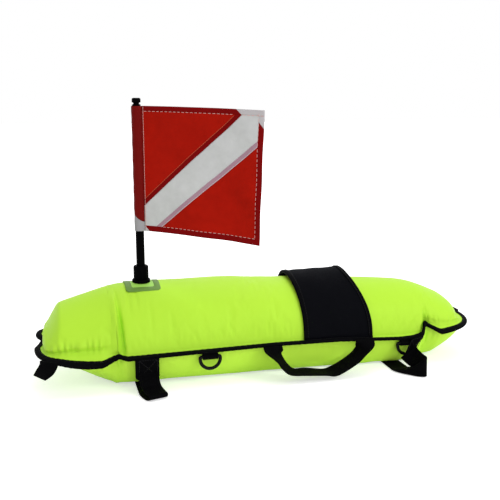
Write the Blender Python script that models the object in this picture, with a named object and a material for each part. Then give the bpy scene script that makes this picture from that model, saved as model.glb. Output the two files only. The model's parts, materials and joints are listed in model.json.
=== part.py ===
"""Inflatable dive float with a flag, straps and tow rings.

Metres, +Z up. +X runs along the hull from its blunt front end to its slimmer rear end,
and -Y is the near side. The hull rests on its flat belly at z = 0.
"""
import math

import bmesh
import bpy
import numpy as np
from mathutils import Matrix, Vector

for item in list(bpy.data.objects):
    bpy.data.objects.remove(item, do_unlink=True)

# Clearances
GAP = 0.0003
BLADDER_GAP = 0.0030
OVERRUN = 0.0100

# Hull
HULL_LENGTH = 0.862
SEAM_HALF_WIDTH = 0.098
SEAM_HEIGHT = 0.070
CREST_HEIGHT = 0.184
BELLY_DEPTH = 0.088
BELLY_ROUNDING = 0.012
STRAP_RELIEF = 0.0028
FRONT_RELIEF = 0.0045
FRONT_RELIEF_X = -0.060
NOSE_LENGTH = 0.075
FRONT_NOSE_POWER = 3.6
REAR_NOSE_POWER = 2.6
FRONT_FACE_RUN = 0.032
REAR_FACE_RUN = 0.012
FRONT_NOTCH_INSET = 0.136
REAR_NOTCH_INSET = 0.106
NOTCH_END_SPAN = 0.030
NOTCH_BODY_SPAN = 0.012
FRONT_NOTCH_DEPTH = 0.011
REAR_NOTCH_DEPTH = 0.019
FOLD_RUN = 0.004
STATION_STEP = 0.055
STATION_MERGE = 0.005
FABRIC = 0.0009
FLANGE_WIDTH = 0.017
FLANGE_DROOP = 0.012

# Binding tape round the flange
BINDING_WIDTH = 0.0075
BINDING_TAPE = 0.0008
BINDING_CHAMFER = 0.0008

# Bladder
BLADDER_WALL = 0.0010

# Pole patch, socket and pole
POLE_INSET = 0.055
PATCH_LENGTH = 0.066
PATCH_WIDTH = 0.078
PATCH_CORNER = 0.007
PATCH_THICKNESS = 0.0012
SOCKET_BASE_DIAMETER = 0.035
SOCKET_BASE_HEIGHT = 0.0048
SOCKET_STEM_DIAMETER = 0.0225
SOCKET_STEM_HEIGHT = 0.0200
SOCKET_FLOOR = 0.0020
COLLAR_DIAMETER = 0.0290
COLLAR_HEIGHT = 0.0260
COLLAR_RIB = 0.0007
COLLAR_RIBS = 14
COLLAR_CHAMFER = 0.0018
GRIP_RING_HEIGHT = 0.0036
POLE_DIAMETER = 0.0165
POLE_WALL = 0.0018
POLE_RUNNING_GAP = 0.0004
POLE_HEIGHT = 0.330
PLUG_LENGTH = 0.014
CAP_NECK_DIAMETER = 0.0110
CAP_NECK_HEIGHT = 0.0040
CAP_HEAD_DIAMETER = 0.0165
CAP_HEAD_HEIGHT = 0.0090
CAP_ROUNDING = 0.0025
ROUND_STEPS = 24

# Flag
FLAG_LENGTH = 0.254
FLAG_HEIGHT = 0.234
FLAG_TAPER = 0.014
FLAG_TOP_INSET = 0.0015
FLAG_TURN = math.radians(-36.0)
FLAG_CLOTH = 0.0008
FLAG_DROOP = 0.006
FLAG_WAVE = 0.0035
FLAG_WAVELENGTH = 0.150
STRIPE_TOP_EDGE_SHARES = ((0.042, 0.203), (0.812, 0.940))
STRIPE_FOOT_EDGE_SHARES = ((0.171, 0.022), (0.963, 0.734))
SLEEVE_REACH = 0.0115
SLEEVE_CLEARANCE = 0.0006
FLAG_CELLS = 12

# Hold-down band over the hull
BAND_X = 0.1315
BAND_SKEW = -0.0205
BAND_END_WIDTH = 0.141
BAND_CREST_WIDTH = 0.118
BAND_THICKNESS = 0.0040
BAND_CREST_HEIGHT = 0.1885
BAND_TILT = 0.003
BAND_LIE = 0.0022
BAND_END_LIFT = 0.0030
BAND_EDGING_WIDTH = 0.0085
BAND_EDGING_TAPE = 0.0009
BAND_STEPS = 22

# Webbing
WEBBING_WIDTH = 0.038
WEBBING = 0.0020
WEBBING_STAND = 0.0010
FRONT_STRAP_X = -0.245
REAR_STRAP_X = 0.258
REAR_TAB_X = 0.297
REAR_TAB_LEAN = 0.45
TAB_LENGTH = 0.040
FRONT_TAB_WIDTH = 0.041
REAR_TAB_WIDTH = 0.032
CORNER_LOOP_X = -0.410
CORNER_LOOP_LENGTH = 0.028
CORNER_LOOP_TWIST = math.radians(22.0)
CORNER_LOOP_OPENING = 0.006
CORNER_LOOP_LEAN = 0.0145
HANDLE_X = 0.087
HANDLE_SPAN = 0.188
HANDLE_DROP = 0.0580
HANDLE_BOW = 0.012
HANDLE_WIDTH = 0.038

# Tow rings
RING_WIDTH = 0.0450
RING_HEIGHT = 0.0300
RING_WIRE = 0.0065
FRONT_RING_X = -0.127
REAR_RING_X = 0.277
RING_TAB_WEBBING = 0.0018
RING_TAB_CLEARANCE = 0.0006
RING_TAB_SIDE_GAP = 0.0014
RING_TAB_NECK = 0.0030

# Oral inflation valve on the far upper side
VALVE_X = -0.120
VALVE_ANGLE = math.radians(148.0)
VALVE_BASE_DIAMETER = 0.034
VALVE_BASE_HEIGHT = 0.0030
VALVE_TUBE_DIAMETER = 0.0170
VALVE_TUBE_HEIGHT = 0.0130
VALVE_HOLE_DIAMETER = 0.0200
VALVE_STEM_DEPTH = 0.0090
MOUTHPIECE_DIAMETER = 0.0118
MOUTHPIECE_BORE = 0.0060
MOUTHPIECE_RIM_DIAMETER = 0.0150
MOUTHPIECE_RIM_HEIGHT = 0.0030
MOUTHPIECE_STAND = 0.0060
VALVE_CAP_DIAMETER = 0.0210
VALVE_CAP_HEIGHT = 0.0120
VALVE_CAP_WALL = 0.0013

half_length = HULL_LENGTH / 2
front_corner_x = -half_length + FRONT_FACE_RUN
rear_corner_x = half_length - REAR_FACE_RUN
front_ear_x = -half_length + NOSE_LENGTH
rear_ear_x = half_length - NOSE_LENGTH
front_notch_x = -half_length + FRONT_NOTCH_INSET
rear_notch_x = half_length - REAR_NOTCH_INSET
pole_x = front_notch_x + POLE_INSET

# Places along the hull, each with a share of the size that the table's name gives
front_notch_end_x = front_notch_x - NOTCH_END_SPAN
front_notch_body_x = front_notch_x + NOTCH_BODY_SPAN
rear_notch_body_x = rear_notch_x - NOTCH_BODY_SPAN
rear_notch_end_x = rear_notch_x + NOTCH_END_SPAN
BODY_WIDTH_SHARES = (
    (-half_length, 0.93), (front_ear_x, 0.93), (front_notch_body_x, 1.0),
    (rear_notch_body_x, 0.98), (rear_ear_x, 0.92), (half_length, 0.92),
)
CREST_SHARES = (
    (-half_length, 0.51), (front_corner_x, 0.815), (front_notch_x, 0.997), (pole_x, 1.0),
    (0.0, 0.970), (BAND_X, 0.930), (rear_notch_body_x, 0.843),
    (rear_notch_end_x, 0.764), (rear_corner_x, 0.590), (half_length, 0.42),
)
SEAM_HEIGHT_SHARES = (
    (-half_length, 1.05), (front_ear_x, 1.0), (front_notch_end_x, 0.98), (front_notch_x, 1.02),
    (front_notch_body_x, 0.98), (0.0, 1.02), (BAND_X, 1.0), (REAR_STRAP_X, 0.90),
    (rear_notch_body_x, 0.915),
    (rear_notch_x, 1.17), (rear_notch_end_x, 1.04), (half_length, 1.08),
)
BELLY_SHARES = (
    (-half_length, 0.03), (front_notch_end_x, 0.72), (front_notch_x, 1.0), (0.0, 1.05),
    (rear_notch_x, 1.20), (rear_notch_end_x, 0.92), (rear_corner_x, 0.46), (half_length, 0.05),
)
FLANGE_WIDTH_SHARES = (
    (-half_length, 0.85), (front_ear_x, 1.0), (front_notch_x, 0.85), (front_notch_body_x, 0.72),
    (rear_notch_body_x, 0.78), (rear_notch_x, 0.76), (rear_ear_x, 1.0), (half_length, 0.80),
)
FLANGE_DROOP_SHARES = (
    (-half_length, 0.1), (front_ear_x, 0.95), (front_notch_end_x, 0.98), (front_notch_x, 0.30),
    (front_notch_body_x, 0.35), (pole_x, 0.25), (0.0, 0.10), (rear_notch_body_x, 0.25),
    (rear_notch_x, 0.15), (rear_ear_x, 0.95), (half_length, 0.1),
)
UPPER_CREASE_SHARE = 0.8
LOWER_CREASE_SHARE = 0.6
BLEND_SHARES = (-1.0, -0.5, 0.0, 0.5, 1.0)

# Angles round the section, in degrees from the near seam: over the crest, and under the belly
patch_edge_angle = math.degrees(math.acos(PATCH_WIDTH / 2 / SEAM_HALF_WIDTH))
UPPER_ANGLES = (0, 11, 22, 33, 45, 57, patch_edge_angle, 79, 90)
LOWER_ANGLES = (0, 17, 34, 48, 62, 76, 90)
BLADDER_ANGLES = (0, 20, 40, 65, 90)
NOSE_ANGLES = (90, 74, 56, 40, 25)
BELLY_STRAP_ANGLES = (161, 152, 144, 136, 127, 118, 109, 100, 90, 75)

# Free ends of the straps: along the hull, outwards and up, in webbing widths, and the way across
FRONT_STRAP_SHARES = (
    (0.00, -0.10, 0.03, (1.0, 0.0, 0.0)), (0.05, 0.40, 0.03, (1.0, 0.1, 0.0)),
    (0.18, 0.80, 0.04, (1.0, 0.25, 0.0)), (0.30, 1.02, 0.10, (1.0, 0.3, 0.0)),
    (0.31, 1.01, 0.24, (1.0, 0.3, 0.0)), (0.20, 0.62, 0.30, (1.0, 0.2, 0.0)),
    (0.08, 0.22, 0.42, (1.0, 0.0, 0.0)), (0.02, 0.09, 0.72, (1.0, 0.0, 0.0)),
    (0.01, 0.07, 1.05, (1.0, 0.0, 0.0)),
)
REAR_STRAP_SHARES = (
    (0.00, -0.15, 0.035, (1.0, 0.0, 0.0)), (-0.03, 0.29, 0.10, (0.99, -0.05, 0.08)),
    (0.05, 0.82, 0.24, (0.85, -0.3, 0.35)), (0.30, 1.29, 0.44, (0.5, -0.25, 0.75)),
    (0.66, 1.60, 0.53, (0.0, 0.0, 1.0)), (0.84, 1.40, 0.54, (0.0, 0.0, 1.0)),
    (0.78, 0.95, 0.57, (0.1, 0.0, 1.0)), (0.68, 0.50, 0.64, (0.35, 0.0, 0.93)),
    (0.60, 0.20, 0.73, (0.6, 0.0, 0.8)), (0.51, 0.09, 0.84, (0.75, 0.0, 0.66)),
    (0.43, 0.08, 0.93, (0.75, 0.0, 0.66)),
)
# The handle: along its span, down its drop, out by its bow, and the way across
HANDLE_SHARES = (
    (0.00, 0.00, 0.0, (-1.0, 0.0, 0.0)), (0.007, 0.13, 0.35, (-1.0, -0.1, 0.0)),
    (0.025, 0.26, 0.7, (-0.74, -0.67, 0.05)), (0.068, 0.44, 0.85, (-0.55, -0.83, 0.08)),
    (0.114, 0.66, 0.95, (-0.53, -0.84, 0.06)), (0.19, 0.86, 1.0, (-0.45, -0.89, 0.0)),
    (0.33, 0.90, 1.0, (-0.26, -0.96, -0.06)), (0.535, 0.98, 1.0, (-0.14, -0.99, 0.0)),
    (0.64, 0.97, 1.0, (0.0, -0.98, -0.19)), (0.756, 0.81, 0.95, (0.06, -0.98, -0.20)),
    (0.868, 0.60, 0.85, (0.17, -0.97, -0.16)), (0.937, 0.41, 0.7, (0.32, -0.95, -0.04)),
    (0.975, 0.25, 0.85, (0.60, -0.80, 0.02)), (0.998, 0.11, 0.45, (0.97, -0.22, 0.0)),
    (1.00, 0.00, 0.0, (1.0, 0.0, 0.0)),
)

COLOURS = {
    "hull_fabric": ((0.47, 0.95, 0.05), 0.55, 0.0),
    "belly_fabric": ((0.44, 0.90, 0.05), 0.55, 0.0),
    "bladder_film": ((0.55, 0.60, 0.58), 0.35, 0.0),
    "black_tape": ((0.008, 0.008, 0.010), 0.70, 0.0),
    "webbing": ((0.010, 0.010, 0.012), 0.80, 0.0),
    "neoprene": ((0.012, 0.013, 0.018), 0.65, 0.0),
    "black_plastic": ((0.009, 0.009, 0.010), 0.40, 0.0),
    "rubber": ((0.010, 0.010, 0.010), 0.75, 0.0),
    "patch_film": ((0.14, 0.34, 0.05), 0.45, 0.0),
    "flag_red": ((0.38, 0.010, 0.006), 0.60, 0.0),
    "flag_white": ((0.60, 0.60, 0.61), 0.60, 0.0),
    "ring_metal": ((0.010, 0.010, 0.012), 0.35, 0.4),
    "valve_plastic": ((0.05, 0.05, 0.06), 0.40, 0.0),
}


def place_material(obj, kind):
    """Gives an object a material of its own with the colour of its kind."""
    colour, roughness, metallic = COLOURS[kind]
    material = bpy.data.materials.new(obj.name)
    material.use_nodes = True
    shader = material.node_tree.nodes["Principled BSDF"]
    shader.inputs["Base Color"].default_value = (*colour, 1.0)
    shader.inputs["Roughness"].default_value = roughness
    shader.inputs["Metallic"].default_value = metallic
    obj.data.materials.append(material)


def build(name, verts, faces, kind, origin=(0.0, 0.0, 0.0), smooth=True):
    """One closed object, with its origin where its joint or its seat is."""
    origin = Vector(origin)
    mesh = bpy.data.meshes.new(name)
    mesh.from_pydata([tuple(Vector(v) - origin) for v in verts], [], faces)
    work = bmesh.new()
    work.from_mesh(mesh)
    bmesh.ops.recalc_face_normals(work, faces=work.faces)
    work.to_mesh(mesh)
    work.free()
    if smooth:
        mesh.shade_smooth()
        mesh.set_sharp_from_angle(angle=math.radians(35))
    obj = bpy.data.objects.new(name, mesh)
    obj.location = origin
    bpy.context.scene.collection.objects.link(obj)
    place_material(obj, kind)
    return obj


def cut(obj, cutter):
    """Takes a closed cutter out of an object with an exact boolean."""
    cutter.hide_render = True
    cutter.display_type = "WIRE"
    modifier = obj.modifiers.new(cutter.name, "BOOLEAN")
    modifier.operation = "DIFFERENCE"
    modifier.object = cutter
    modifier.solver = "EXACT"


def mirrored(angles):
    """Angles of one quarter carried on over the middle to the far side."""
    return list(angles) + [180 - a for a in reversed(angles[:-1])]


def blend_table(table, x):
    """A table's value at a place, with its corners eased over the fold run."""
    places = [place for place, _ in table]
    values = [value for _, value in table]
    return float(np.mean([np.interp(x + FOLD_RUN * s, places, values) for s in BLEND_SHARES]))


def nose_power(x):
    return FRONT_NOSE_POWER if x < 0 else REAR_NOSE_POWER


def nose_share(x):
    """How much of the full width is left at a place in the rounded noses."""
    run = max(0.0, abs(x) - (half_length - NOSE_LENGTH)) / NOSE_LENGTH
    power = nose_power(x)
    return max(0.0, 1.0 - min(run, 1.0) ** power) ** (1.0 / power)


def pinch(x):
    """How far the seam is drawn in at a place by the two notches."""
    front = ((front_notch_end_x, 0.0), (front_notch_x, FRONT_NOTCH_DEPTH), (front_notch_body_x, 0.0))
    rear = ((rear_notch_body_x, 0.0), (rear_notch_x, REAR_NOTCH_DEPTH), (rear_notch_end_x, 0.0))
    return blend_table(front, x) + blend_table(rear, x)


def half_width(x, pinch_share):
    body = SEAM_HALF_WIDTH * blend_table(BODY_WIDTH_SHARES, x)
    return (body - pinch(x) * pinch_share) * nose_share(x)


def seam_z(x):
    return SEAM_HEIGHT * blend_table(SEAM_HEIGHT_SHARES, x)


def crest_z(x):
    return CREST_HEIGHT * blend_table(CREST_SHARES, x)


def floor_z(x):
    """Lowest level of the belly, which lifts a little where the belly straps pass."""
    front_run = FRONT_RELIEF_X - FRONT_STRAP_X - WEBBING_WIDTH
    rear_run = WEBBING_WIDTH / 2
    front = FRONT_RELIEF * min(max((FRONT_RELIEF_X - x) / front_run, 0.0), 1.0)
    rear = STRAP_RELIEF * min(max((x - REAR_STRAP_X + 3 * rear_run) / rear_run, 0.0), 1.0)
    return max(front, rear)


def eased_floor(z, floor):
    """Lifts a height to the floor, rounded over the belly rounding."""
    over = z - floor
    if over >= BELLY_ROUNDING:
        return z
    if over <= -BELLY_ROUNDING:
        return floor
    return floor + (over + BELLY_ROUNDING) ** 2 / (4 * BELLY_ROUNDING)


def upper_point(x, angle, inset, base_lift):
    """A point of the upper hull at a section angle, drawn in by inset."""
    up = math.sin(math.radians(angle))
    width = half_width(x, max(0.0, 1.0 - up / UPPER_CREASE_SHARE)) - inset * nose_share(x)
    base = seam_z(x) + base_lift
    top = max(crest_z(x) - inset, base)
    return (x, -width * math.cos(math.radians(angle)), base + (top - base) * up)


def lower_point(x, angle, inset, base_drop):
    """A point of the belly at a section angle, drawn in by inset."""
    down = math.sin(math.radians(angle))
    width = half_width(x, 1.0 - LOWER_CREASE_SHARE * down) - inset * nose_share(x)
    base = seam_z(x) - base_drop
    depth = BELLY_DEPTH * blend_table(BELLY_SHARES, x) - inset
    low = eased_floor(base - max(depth, 0.0) * down, floor_z(x) + inset)
    return (x, -width * math.cos(math.radians(angle)), min(low, base))


def hull_stations():
    """Places along the hull, nose to nose, denser at the noses and notches."""
    fixed = {front_corner_x, rear_corner_x, front_ear_x, rear_ear_x}
    for notch, end, body in ((front_notch_x, front_notch_end_x, front_notch_body_x),
                             (rear_notch_x, rear_notch_end_x, rear_notch_body_x)):
        fixed |= {end, (end + notch) / 2, notch, (notch + body) / 2, body}
    fixed |= {pole_x - PATCH_LENGTH / 2, pole_x, pole_x + PATCH_LENGTH / 2}
    fixed |= {REAR_STRAP_X - WEBBING_WIDTH, REAR_STRAP_X - WEBBING_WIDTH * 1.5, FRONT_RELIEF_X, 0.0}
    shaped = []
    for side in (-1, 1):
        nose = [math.sin(math.radians(a)) ** (2 / nose_power(side)) for a in NOSE_ANGLES]
        shaped += [side * (half_length - NOSE_LENGTH + NOSE_LENGTH * run) for run in nose]
    stations = sorted(fixed)
    for x in shaped:
        if min(abs(x - known) for known in stations) > STATION_MERGE / 2 or abs(x) == half_length:
            stations.append(x)
    stations.sort()
    filled = [stations[0]]
    for x in stations[1:]:
        pieces = max(1, math.ceil((x - filled[-1]) / STATION_STEP))
        start = filled[-1]
        filled += [start + (x - start) * (i + 1) / pieces for i in range(pieces)]
    return filled


STATIONS = hull_stations()


def flange_direction(x):
    """Unit plan direction of the flange on the near side."""
    run = max(0.0, abs(x) - (half_length - NOSE_LENGTH)) / NOSE_LENGTH
    share = nose_share(x)
    along = math.copysign(min(run, 1.0) ** (nose_power(x) - 1) / NOSE_LENGTH, x)
    across = share ** (nose_power(x) - 1) / SEAM_HALF_WIDTH
    return Vector((along, -across, 0.0)).normalized()


def flange_points(x):
    """Seam point, flange edge point and the flange's up vector on the near side."""
    seam = Vector((x, -half_width(x, 1.0), seam_z(x)))
    out = flange_direction(x)
    reach = FLANGE_WIDTH * blend_table(FLANGE_WIDTH_SHARES, x)
    droop = FLANGE_DROOP * blend_table(FLANGE_DROOP_SHARES, x)
    level = math.sqrt(max(reach * reach - droop * droop, 0.0))
    edge = seam + out * level - Vector((0.0, 0.0, droop))
    along = (edge - seam).normalized()
    side = out.cross(Vector((0.0, 0.0, 1.0)))
    return seam, edge, side.cross(along).normalized()


def far_side(point):
    return Vector((point[0], -point[1], point[2]))


def rim_frames():
    """Seam, edge and up vectors once round the hull: near side out, far side back."""
    near = [flange_points(x) for x in STATIONS]
    far = [tuple(far_side(v) for v in frame) for frame in near[-2:0:-1]]
    return near + far


RIM = rim_frames()


def cover_mesh(angles, point, base_shift):
    """Shell with a flange: point(x, angle, inset) gives its surface; base_shift its side."""
    verts, faces = [], []
    inner_stations = STATIONS[1:-1]
    count, rows = len(RIM), len(inner_stations)
    columns = mirrored(angles)[1:-1]
    half_gap = GAP / 2

    def add(points):
        start = len(verts)
        verts.extend(tuple(p) for p in points)
        return start

    def skin(inset, level):
        """Grid of one face of the shell inside its own rim."""
        rise = base_shift * level
        rim = add([rim_point(seam, inset) + Vector((0.0, 0.0, rise / up.z)) for seam, _, up in RIM])
        grid = add([point(x, a, inset) for x in inner_stations for a in columns])
        last = len(columns)

        def index(row, column):
            if column == 0:
                return rim + row
            if column == last + 1:
                return rim + (count - row) % count
            return grid + (row - 1) * last + column - 1

        for row in range(1, rows):
            for column in range(last + 1):
                faces.append((index(row, column), index(row + 1, column),
                              index(row + 1, column + 1), index(row, column + 1)))
        for row, pole in ((1, rim), (rows, rim + rows + 1)):
            for column in range(last + 1):
                faces.append((pole, index(row, column), index(row, column + 1)))
        return rim

    loops = [skin(0.0, half_gap + FABRIC)]
    for inward, height in ((BINDING_WIDTH, half_gap + FABRIC), (0.0, half_gap + FABRIC),
                           (0.0, half_gap), (BINDING_WIDTH, half_gap)):
        ring = []
        for seam, edge, up in RIM:
            ring.append(edge - (edge - seam).normalized() * inward + up * base_shift * height)
        loops.append(add(ring))
    loops.append(skin(FABRIC, half_gap))
    for loop, other in zip(loops[:3], loops[1:4]):
        strip(faces, loop, other, count)
    for loop, other in zip(loops[4:], loops[3:]):
        strip(faces, loop, other, count)
    return verts, faces


def strip(faces, loop, other, count, stride=1):
    """Two triangles to each step between two closed loops, split alike on both sides of the hull."""
    for k in range(count):
        nxt = (k + 1) % count
        a, b = loop + k * stride, loop + nxt * stride
        c, d = other + nxt * stride, other + k * stride
        faces += [(a, b, c), (a, c, d)] if k < count // 2 else [(a, b, d), (b, c, d)]


def rim_point(seam, inset):
    """Seam point drawn in towards the hull's middle line."""
    shift = math.copysign(inset * nose_share(seam[0]), seam[1]) if seam[1] else 0.0
    tip = math.copysign(inset, seam[0]) if abs(seam[0]) == half_length else 0.0
    return Vector((seam[0] - tip, seam[1] - shift, seam[2]))


def make_covers():
    lift = GAP / 2 + FABRIC

    def upper(x, angle, inset):
        return upper_point(x, angle, inset, GAP / 2 if inset else lift)

    def lower(x, angle, inset):
        return lower_point(x, angle, inset, GAP / 2 if inset else lift)

    verts, faces = cover_mesh(UPPER_ANGLES, upper, 1.0)
    cover = build("cover_upper", verts, faces, "hull_fabric")
    verts, faces = cover_mesh(LOWER_ANGLES, lower, -1.0)
    build("cover_lower", verts, faces, "belly_fabric")
    return cover


def pillow(name, inset, end_inset, kind):
    """Closed pillow inside the covers, drawn in all round."""
    wanted = [front_corner_x, front_ear_x, front_notch_x, pole_x, rear_notch_x, rear_ear_x]
    wanted += [front_notch_end_x, front_notch_body_x, rear_notch_body_x, rear_notch_end_x]
    wanted += [front_notch_x + (rear_notch_x - front_notch_x) * s / 6 for s in range(2, 6)]
    ends = (-half_length + end_inset, half_length - end_inset)
    wanted = [x for x in sorted(wanted) if ends[0] + STATION_MERGE < x < ends[1] - STATION_MERGE]
    across = mirrored(BLADDER_ANGLES)
    ring = [(a, True) for a in across] + [(a, False) for a in reversed(across[1:-1])]
    verts = [(ends[0], 0.0, seam_z(ends[0]))]
    for x in wanted:
        for angle, is_upper in ring:
            point = upper_point if is_upper else lower_point
            _, y, z = point(x, angle, inset, 0.0)
            width = half_width(x, 1.0) - inset
            y = -width * math.cos(math.radians(angle))
            verts.append((x, y, z))
    verts.append((ends[1], 0.0, seam_z(ends[1])))
    faces, n, last = [], len(ring), len(verts) - 1
    for row in range(len(wanted) - 1):
        for k in range(n):
            a, b = 1 + row * n + k, 1 + row * n + (k + 1) % n
            faces.append((a, b, b + n, a + n))
    for k in range(n):
        faces.append((0, 1 + (k + 1) % n, 1 + k))
        start = last - n
        faces.append((last, start + k, start + (k + 1) % n))
    return build(name, verts, faces, kind)


def lathe(name, profile, kind, centre, axis=(0.0, 0.0, 1.0), steps=ROUND_STEPS, shape=None):
    """Turns a closed profile of (radius, height) pairs about an axis.

    Profile points at radius zero are poles. shape(radius, height, angle) may change
    the radius and height of a point.
    """
    axis = Vector(axis).normalized()
    side = Vector((1.0, 0.0, 0.0))
    side = (side - axis * side.dot(axis)).normalized()
    third = axis.cross(side)
    centre = Vector(centre)
    verts, rings = [], []
    for radius, height in profile:
        if radius == 0:
            rings.append([len(verts)] * steps)
            verts.append(centre + axis * height)
            continue
        start = len(verts)
        for k in range(steps):
            angle = 2 * math.pi * k / steps
            r, h = shape(radius, height, angle) if shape else (radius, height)
            verts.append(centre + axis * h + (side * math.cos(angle) + third * math.sin(angle)) * r)
        rings.append([start + k for k in range(steps)])
    faces = []
    for ring, other in zip(rings, rings[1:] + rings[:1]):
        for k in range(steps):
            nxt = (k + 1) % steps
            face = [ring[k], ring[nxt], other[nxt], other[k]]
            face = [v for i, v in enumerate(face) if v not in face[:i]]
            if len(face) > 2:
                faces.append(tuple(face))
    return build(name, verts, faces, kind, centre)


def binding_loop():
    """U-shaped tape folded over the edge of the flange, once round the hull."""
    inside = GAP / 2 + FABRIC + 2 * GAP
    outside = inside + BINDING_TAPE
    tip_in = GAP
    tip_out = GAP + BINDING_TAPE
    profile = (
        (-BINDING_WIDTH, -outside), (tip_out - BINDING_CHAMFER, -outside),
        (tip_out, -outside + BINDING_CHAMFER), (tip_out, outside - BINDING_CHAMFER),
        (tip_out - BINDING_CHAMFER, outside), (-BINDING_WIDTH, outside),
        (-BINDING_WIDTH, inside), (tip_in, inside), (tip_in, -inside), (-BINDING_WIDTH, -inside),
    )
    verts, faces = [], []
    for seam, edge, up in RIM:
        along = (edge - seam).normalized()
        verts += [edge + along * u + up * v for u, v in profile]
    n, count = len(profile), len(RIM)
    for i in range(n):
        j = (i + 1) % n
        inner, outer = (i, j) if profile[i][0] < profile[j][0] else (j, i)
        strip(faces, inner, outer, count, n)
    build("edge_binding", verts, faces, "black_tape")
    return outside


def row_at(x):
    """Near-to-far y and z of the upper cover's own facets at a place along the hull."""
    angles = mirrored(UPPER_ANGLES)
    after = next(i for i, s in enumerate(STATIONS) if s >= x - STATION_MERGE / 1000)
    before = max(after - 1, 0)
    span = STATIONS[after] - STATIONS[before]
    share = (x - STATIONS[before]) / span if span else 1.0
    lift = GAP / 2 + FABRIC
    rows = [[upper_point(STATIONS[i], a, 0.0, lift) for a in angles] for i in (before, after)]
    ys = [r0[1] * (1 - share) + r1[1] * share for r0, r1 in zip(*rows)]
    zs = [r0[2] * (1 - share) + r1[2] * share for r0, r1 in zip(*rows)]
    return ys, zs


def cover_top(x, y):
    ys, zs = row_at(x)
    return float(np.interp(y, ys, zs))


def plate_on_cover(name, xs, ys, clearance, thickness, kind):
    """Thin plate with cut corners that follows the facets of the upper cover."""
    verts, faces = [], []
    corners = {(0, 0), (0, len(ys) - 1), (len(xs) - 1, 0), (len(xs) - 1, len(ys) - 1)}
    index = {}
    for level, height in enumerate((clearance, clearance + thickness)):
        for i, x in enumerate(xs):
            for j, y in enumerate(ys):
                if (i, j) not in corners:
                    index[i, j, level] = len(verts)
                    verts.append((x, y, cover_top(x, y) + height))
    for i in range(len(xs) - 1):
        for j in range(len(ys) - 1):
            cell = [(i, j), (i + 1, j), (i + 1, j + 1), (i, j + 1)]
            cell = [c for c in cell if c not in corners]
            faces.append(tuple(index[c[0], c[1], 0] for c in reversed(cell)))
            faces.append(tuple(index[c[0], c[1], 1] for c in cell))
    last_i, last_j = len(xs) - 1, len(ys) - 1
    border = [(i, 0) for i in range(1, last_i)] + [(last_i, j) for j in range(1, last_j)]
    border += [(i, last_j) for i in range(last_i - 1, 0, -1)] + [(0, j) for j in range(last_j - 1, 0, -1)]
    for a, b in zip(border, border[1:] + border[:1]):
        faces.append((index[a[0], a[1], 0], index[b[0], b[1], 0], index[b[0], b[1], 1], index[a[0], a[1], 1]))
    return build(name, verts, faces, kind)


def make_pole_patch():
    half = PATCH_LENGTH / 2
    xs = [pole_x + s for s in (-half, PATCH_CORNER - half, 0.0, half - PATCH_CORNER, half)]
    ridge = SEAM_HALF_WIDTH * math.cos(math.radians(UPPER_ANGLES[-2]))
    half = PATCH_WIDTH / 2
    ys = [-half, PATCH_CORNER - half, -ridge, 0.0, ridge, half - PATCH_CORNER, half]
    plate_on_cover("pole_patch", xs, ys, GAP, PATCH_THICKNESS, "patch_film")


def make_socket():
    """Socket welded to the patch: base disc, stem, grip ring and ribbed collar."""
    seat_lift = GAP + PATCH_THICKNESS + GAP
    seat = cover_top(pole_x, 0.0) + seat_lift
    base_r = SOCKET_BASE_DIAMETER / 2
    stem_r = SOCKET_STEM_DIAMETER / 2
    bore_r = POLE_DIAMETER / 2 + POLE_RUNNING_GAP
    chamfer = SOCKET_BASE_HEIGHT / 4
    stem_top = SOCKET_BASE_HEIGHT + SOCKET_STEM_HEIGHT

    def on_patch(radius, height, angle):
        if height > 0:
            return radius, height
        low = cover_top(pole_x + radius * math.cos(angle), radius * math.sin(angle))
        return radius, low + seat_lift - seat

    profile = [
        (0.0, 0.0), (base_r / 2, 0.0), (base_r, 0.0), (base_r, SOCKET_BASE_HEIGHT - chamfer),
        (base_r - chamfer, SOCKET_BASE_HEIGHT), (stem_r, SOCKET_BASE_HEIGHT), (stem_r, stem_top),
        (bore_r, stem_top), (bore_r, SOCKET_FLOOR), (0.0, SOCKET_FLOOR),
    ]
    lathe("socket_base", profile, "black_plastic", (pole_x, 0.0, seat), shape=on_patch)

    collar_low = SOCKET_BASE_HEIGHT + GAP
    collar_top = collar_low + COLLAR_HEIGHT
    collar_r = COLLAR_DIAMETER / 2
    inner_r = stem_r + GAP
    lip_low = stem_top + GAP + GRIP_RING_HEIGHT + GAP

    def ribbed(radius, height, angle):
        if radius < collar_r - COLLAR_CHAMFER / 2:
            return radius, height
        wave = math.cos(COLLAR_RIBS * angle)
        return radius - COLLAR_RIB * (wave < 0), height

    profile = [
        (inner_r, collar_low), (collar_r, collar_low), (collar_r, collar_top - COLLAR_CHAMFER),
        (collar_r - COLLAR_CHAMFER, collar_top), (bore_r, collar_top), (bore_r, lip_low),
        (inner_r, lip_low),
    ]
    lathe("socket_collar", profile, "black_plastic", (pole_x, 0.0, seat), steps=4 * COLLAR_RIBS, shape=ribbed)

    grip_low = stem_top + GAP
    grip_top = grip_low + GRIP_RING_HEIGHT
    grip_r = inner_r - GAP
    profile = [(bore_r, grip_low), (grip_r, grip_low), (grip_r, grip_top), (bore_r, grip_top)]
    lathe("grip_ring", profile, "rubber", (pole_x, 0.0, seat))
    return seat


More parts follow.
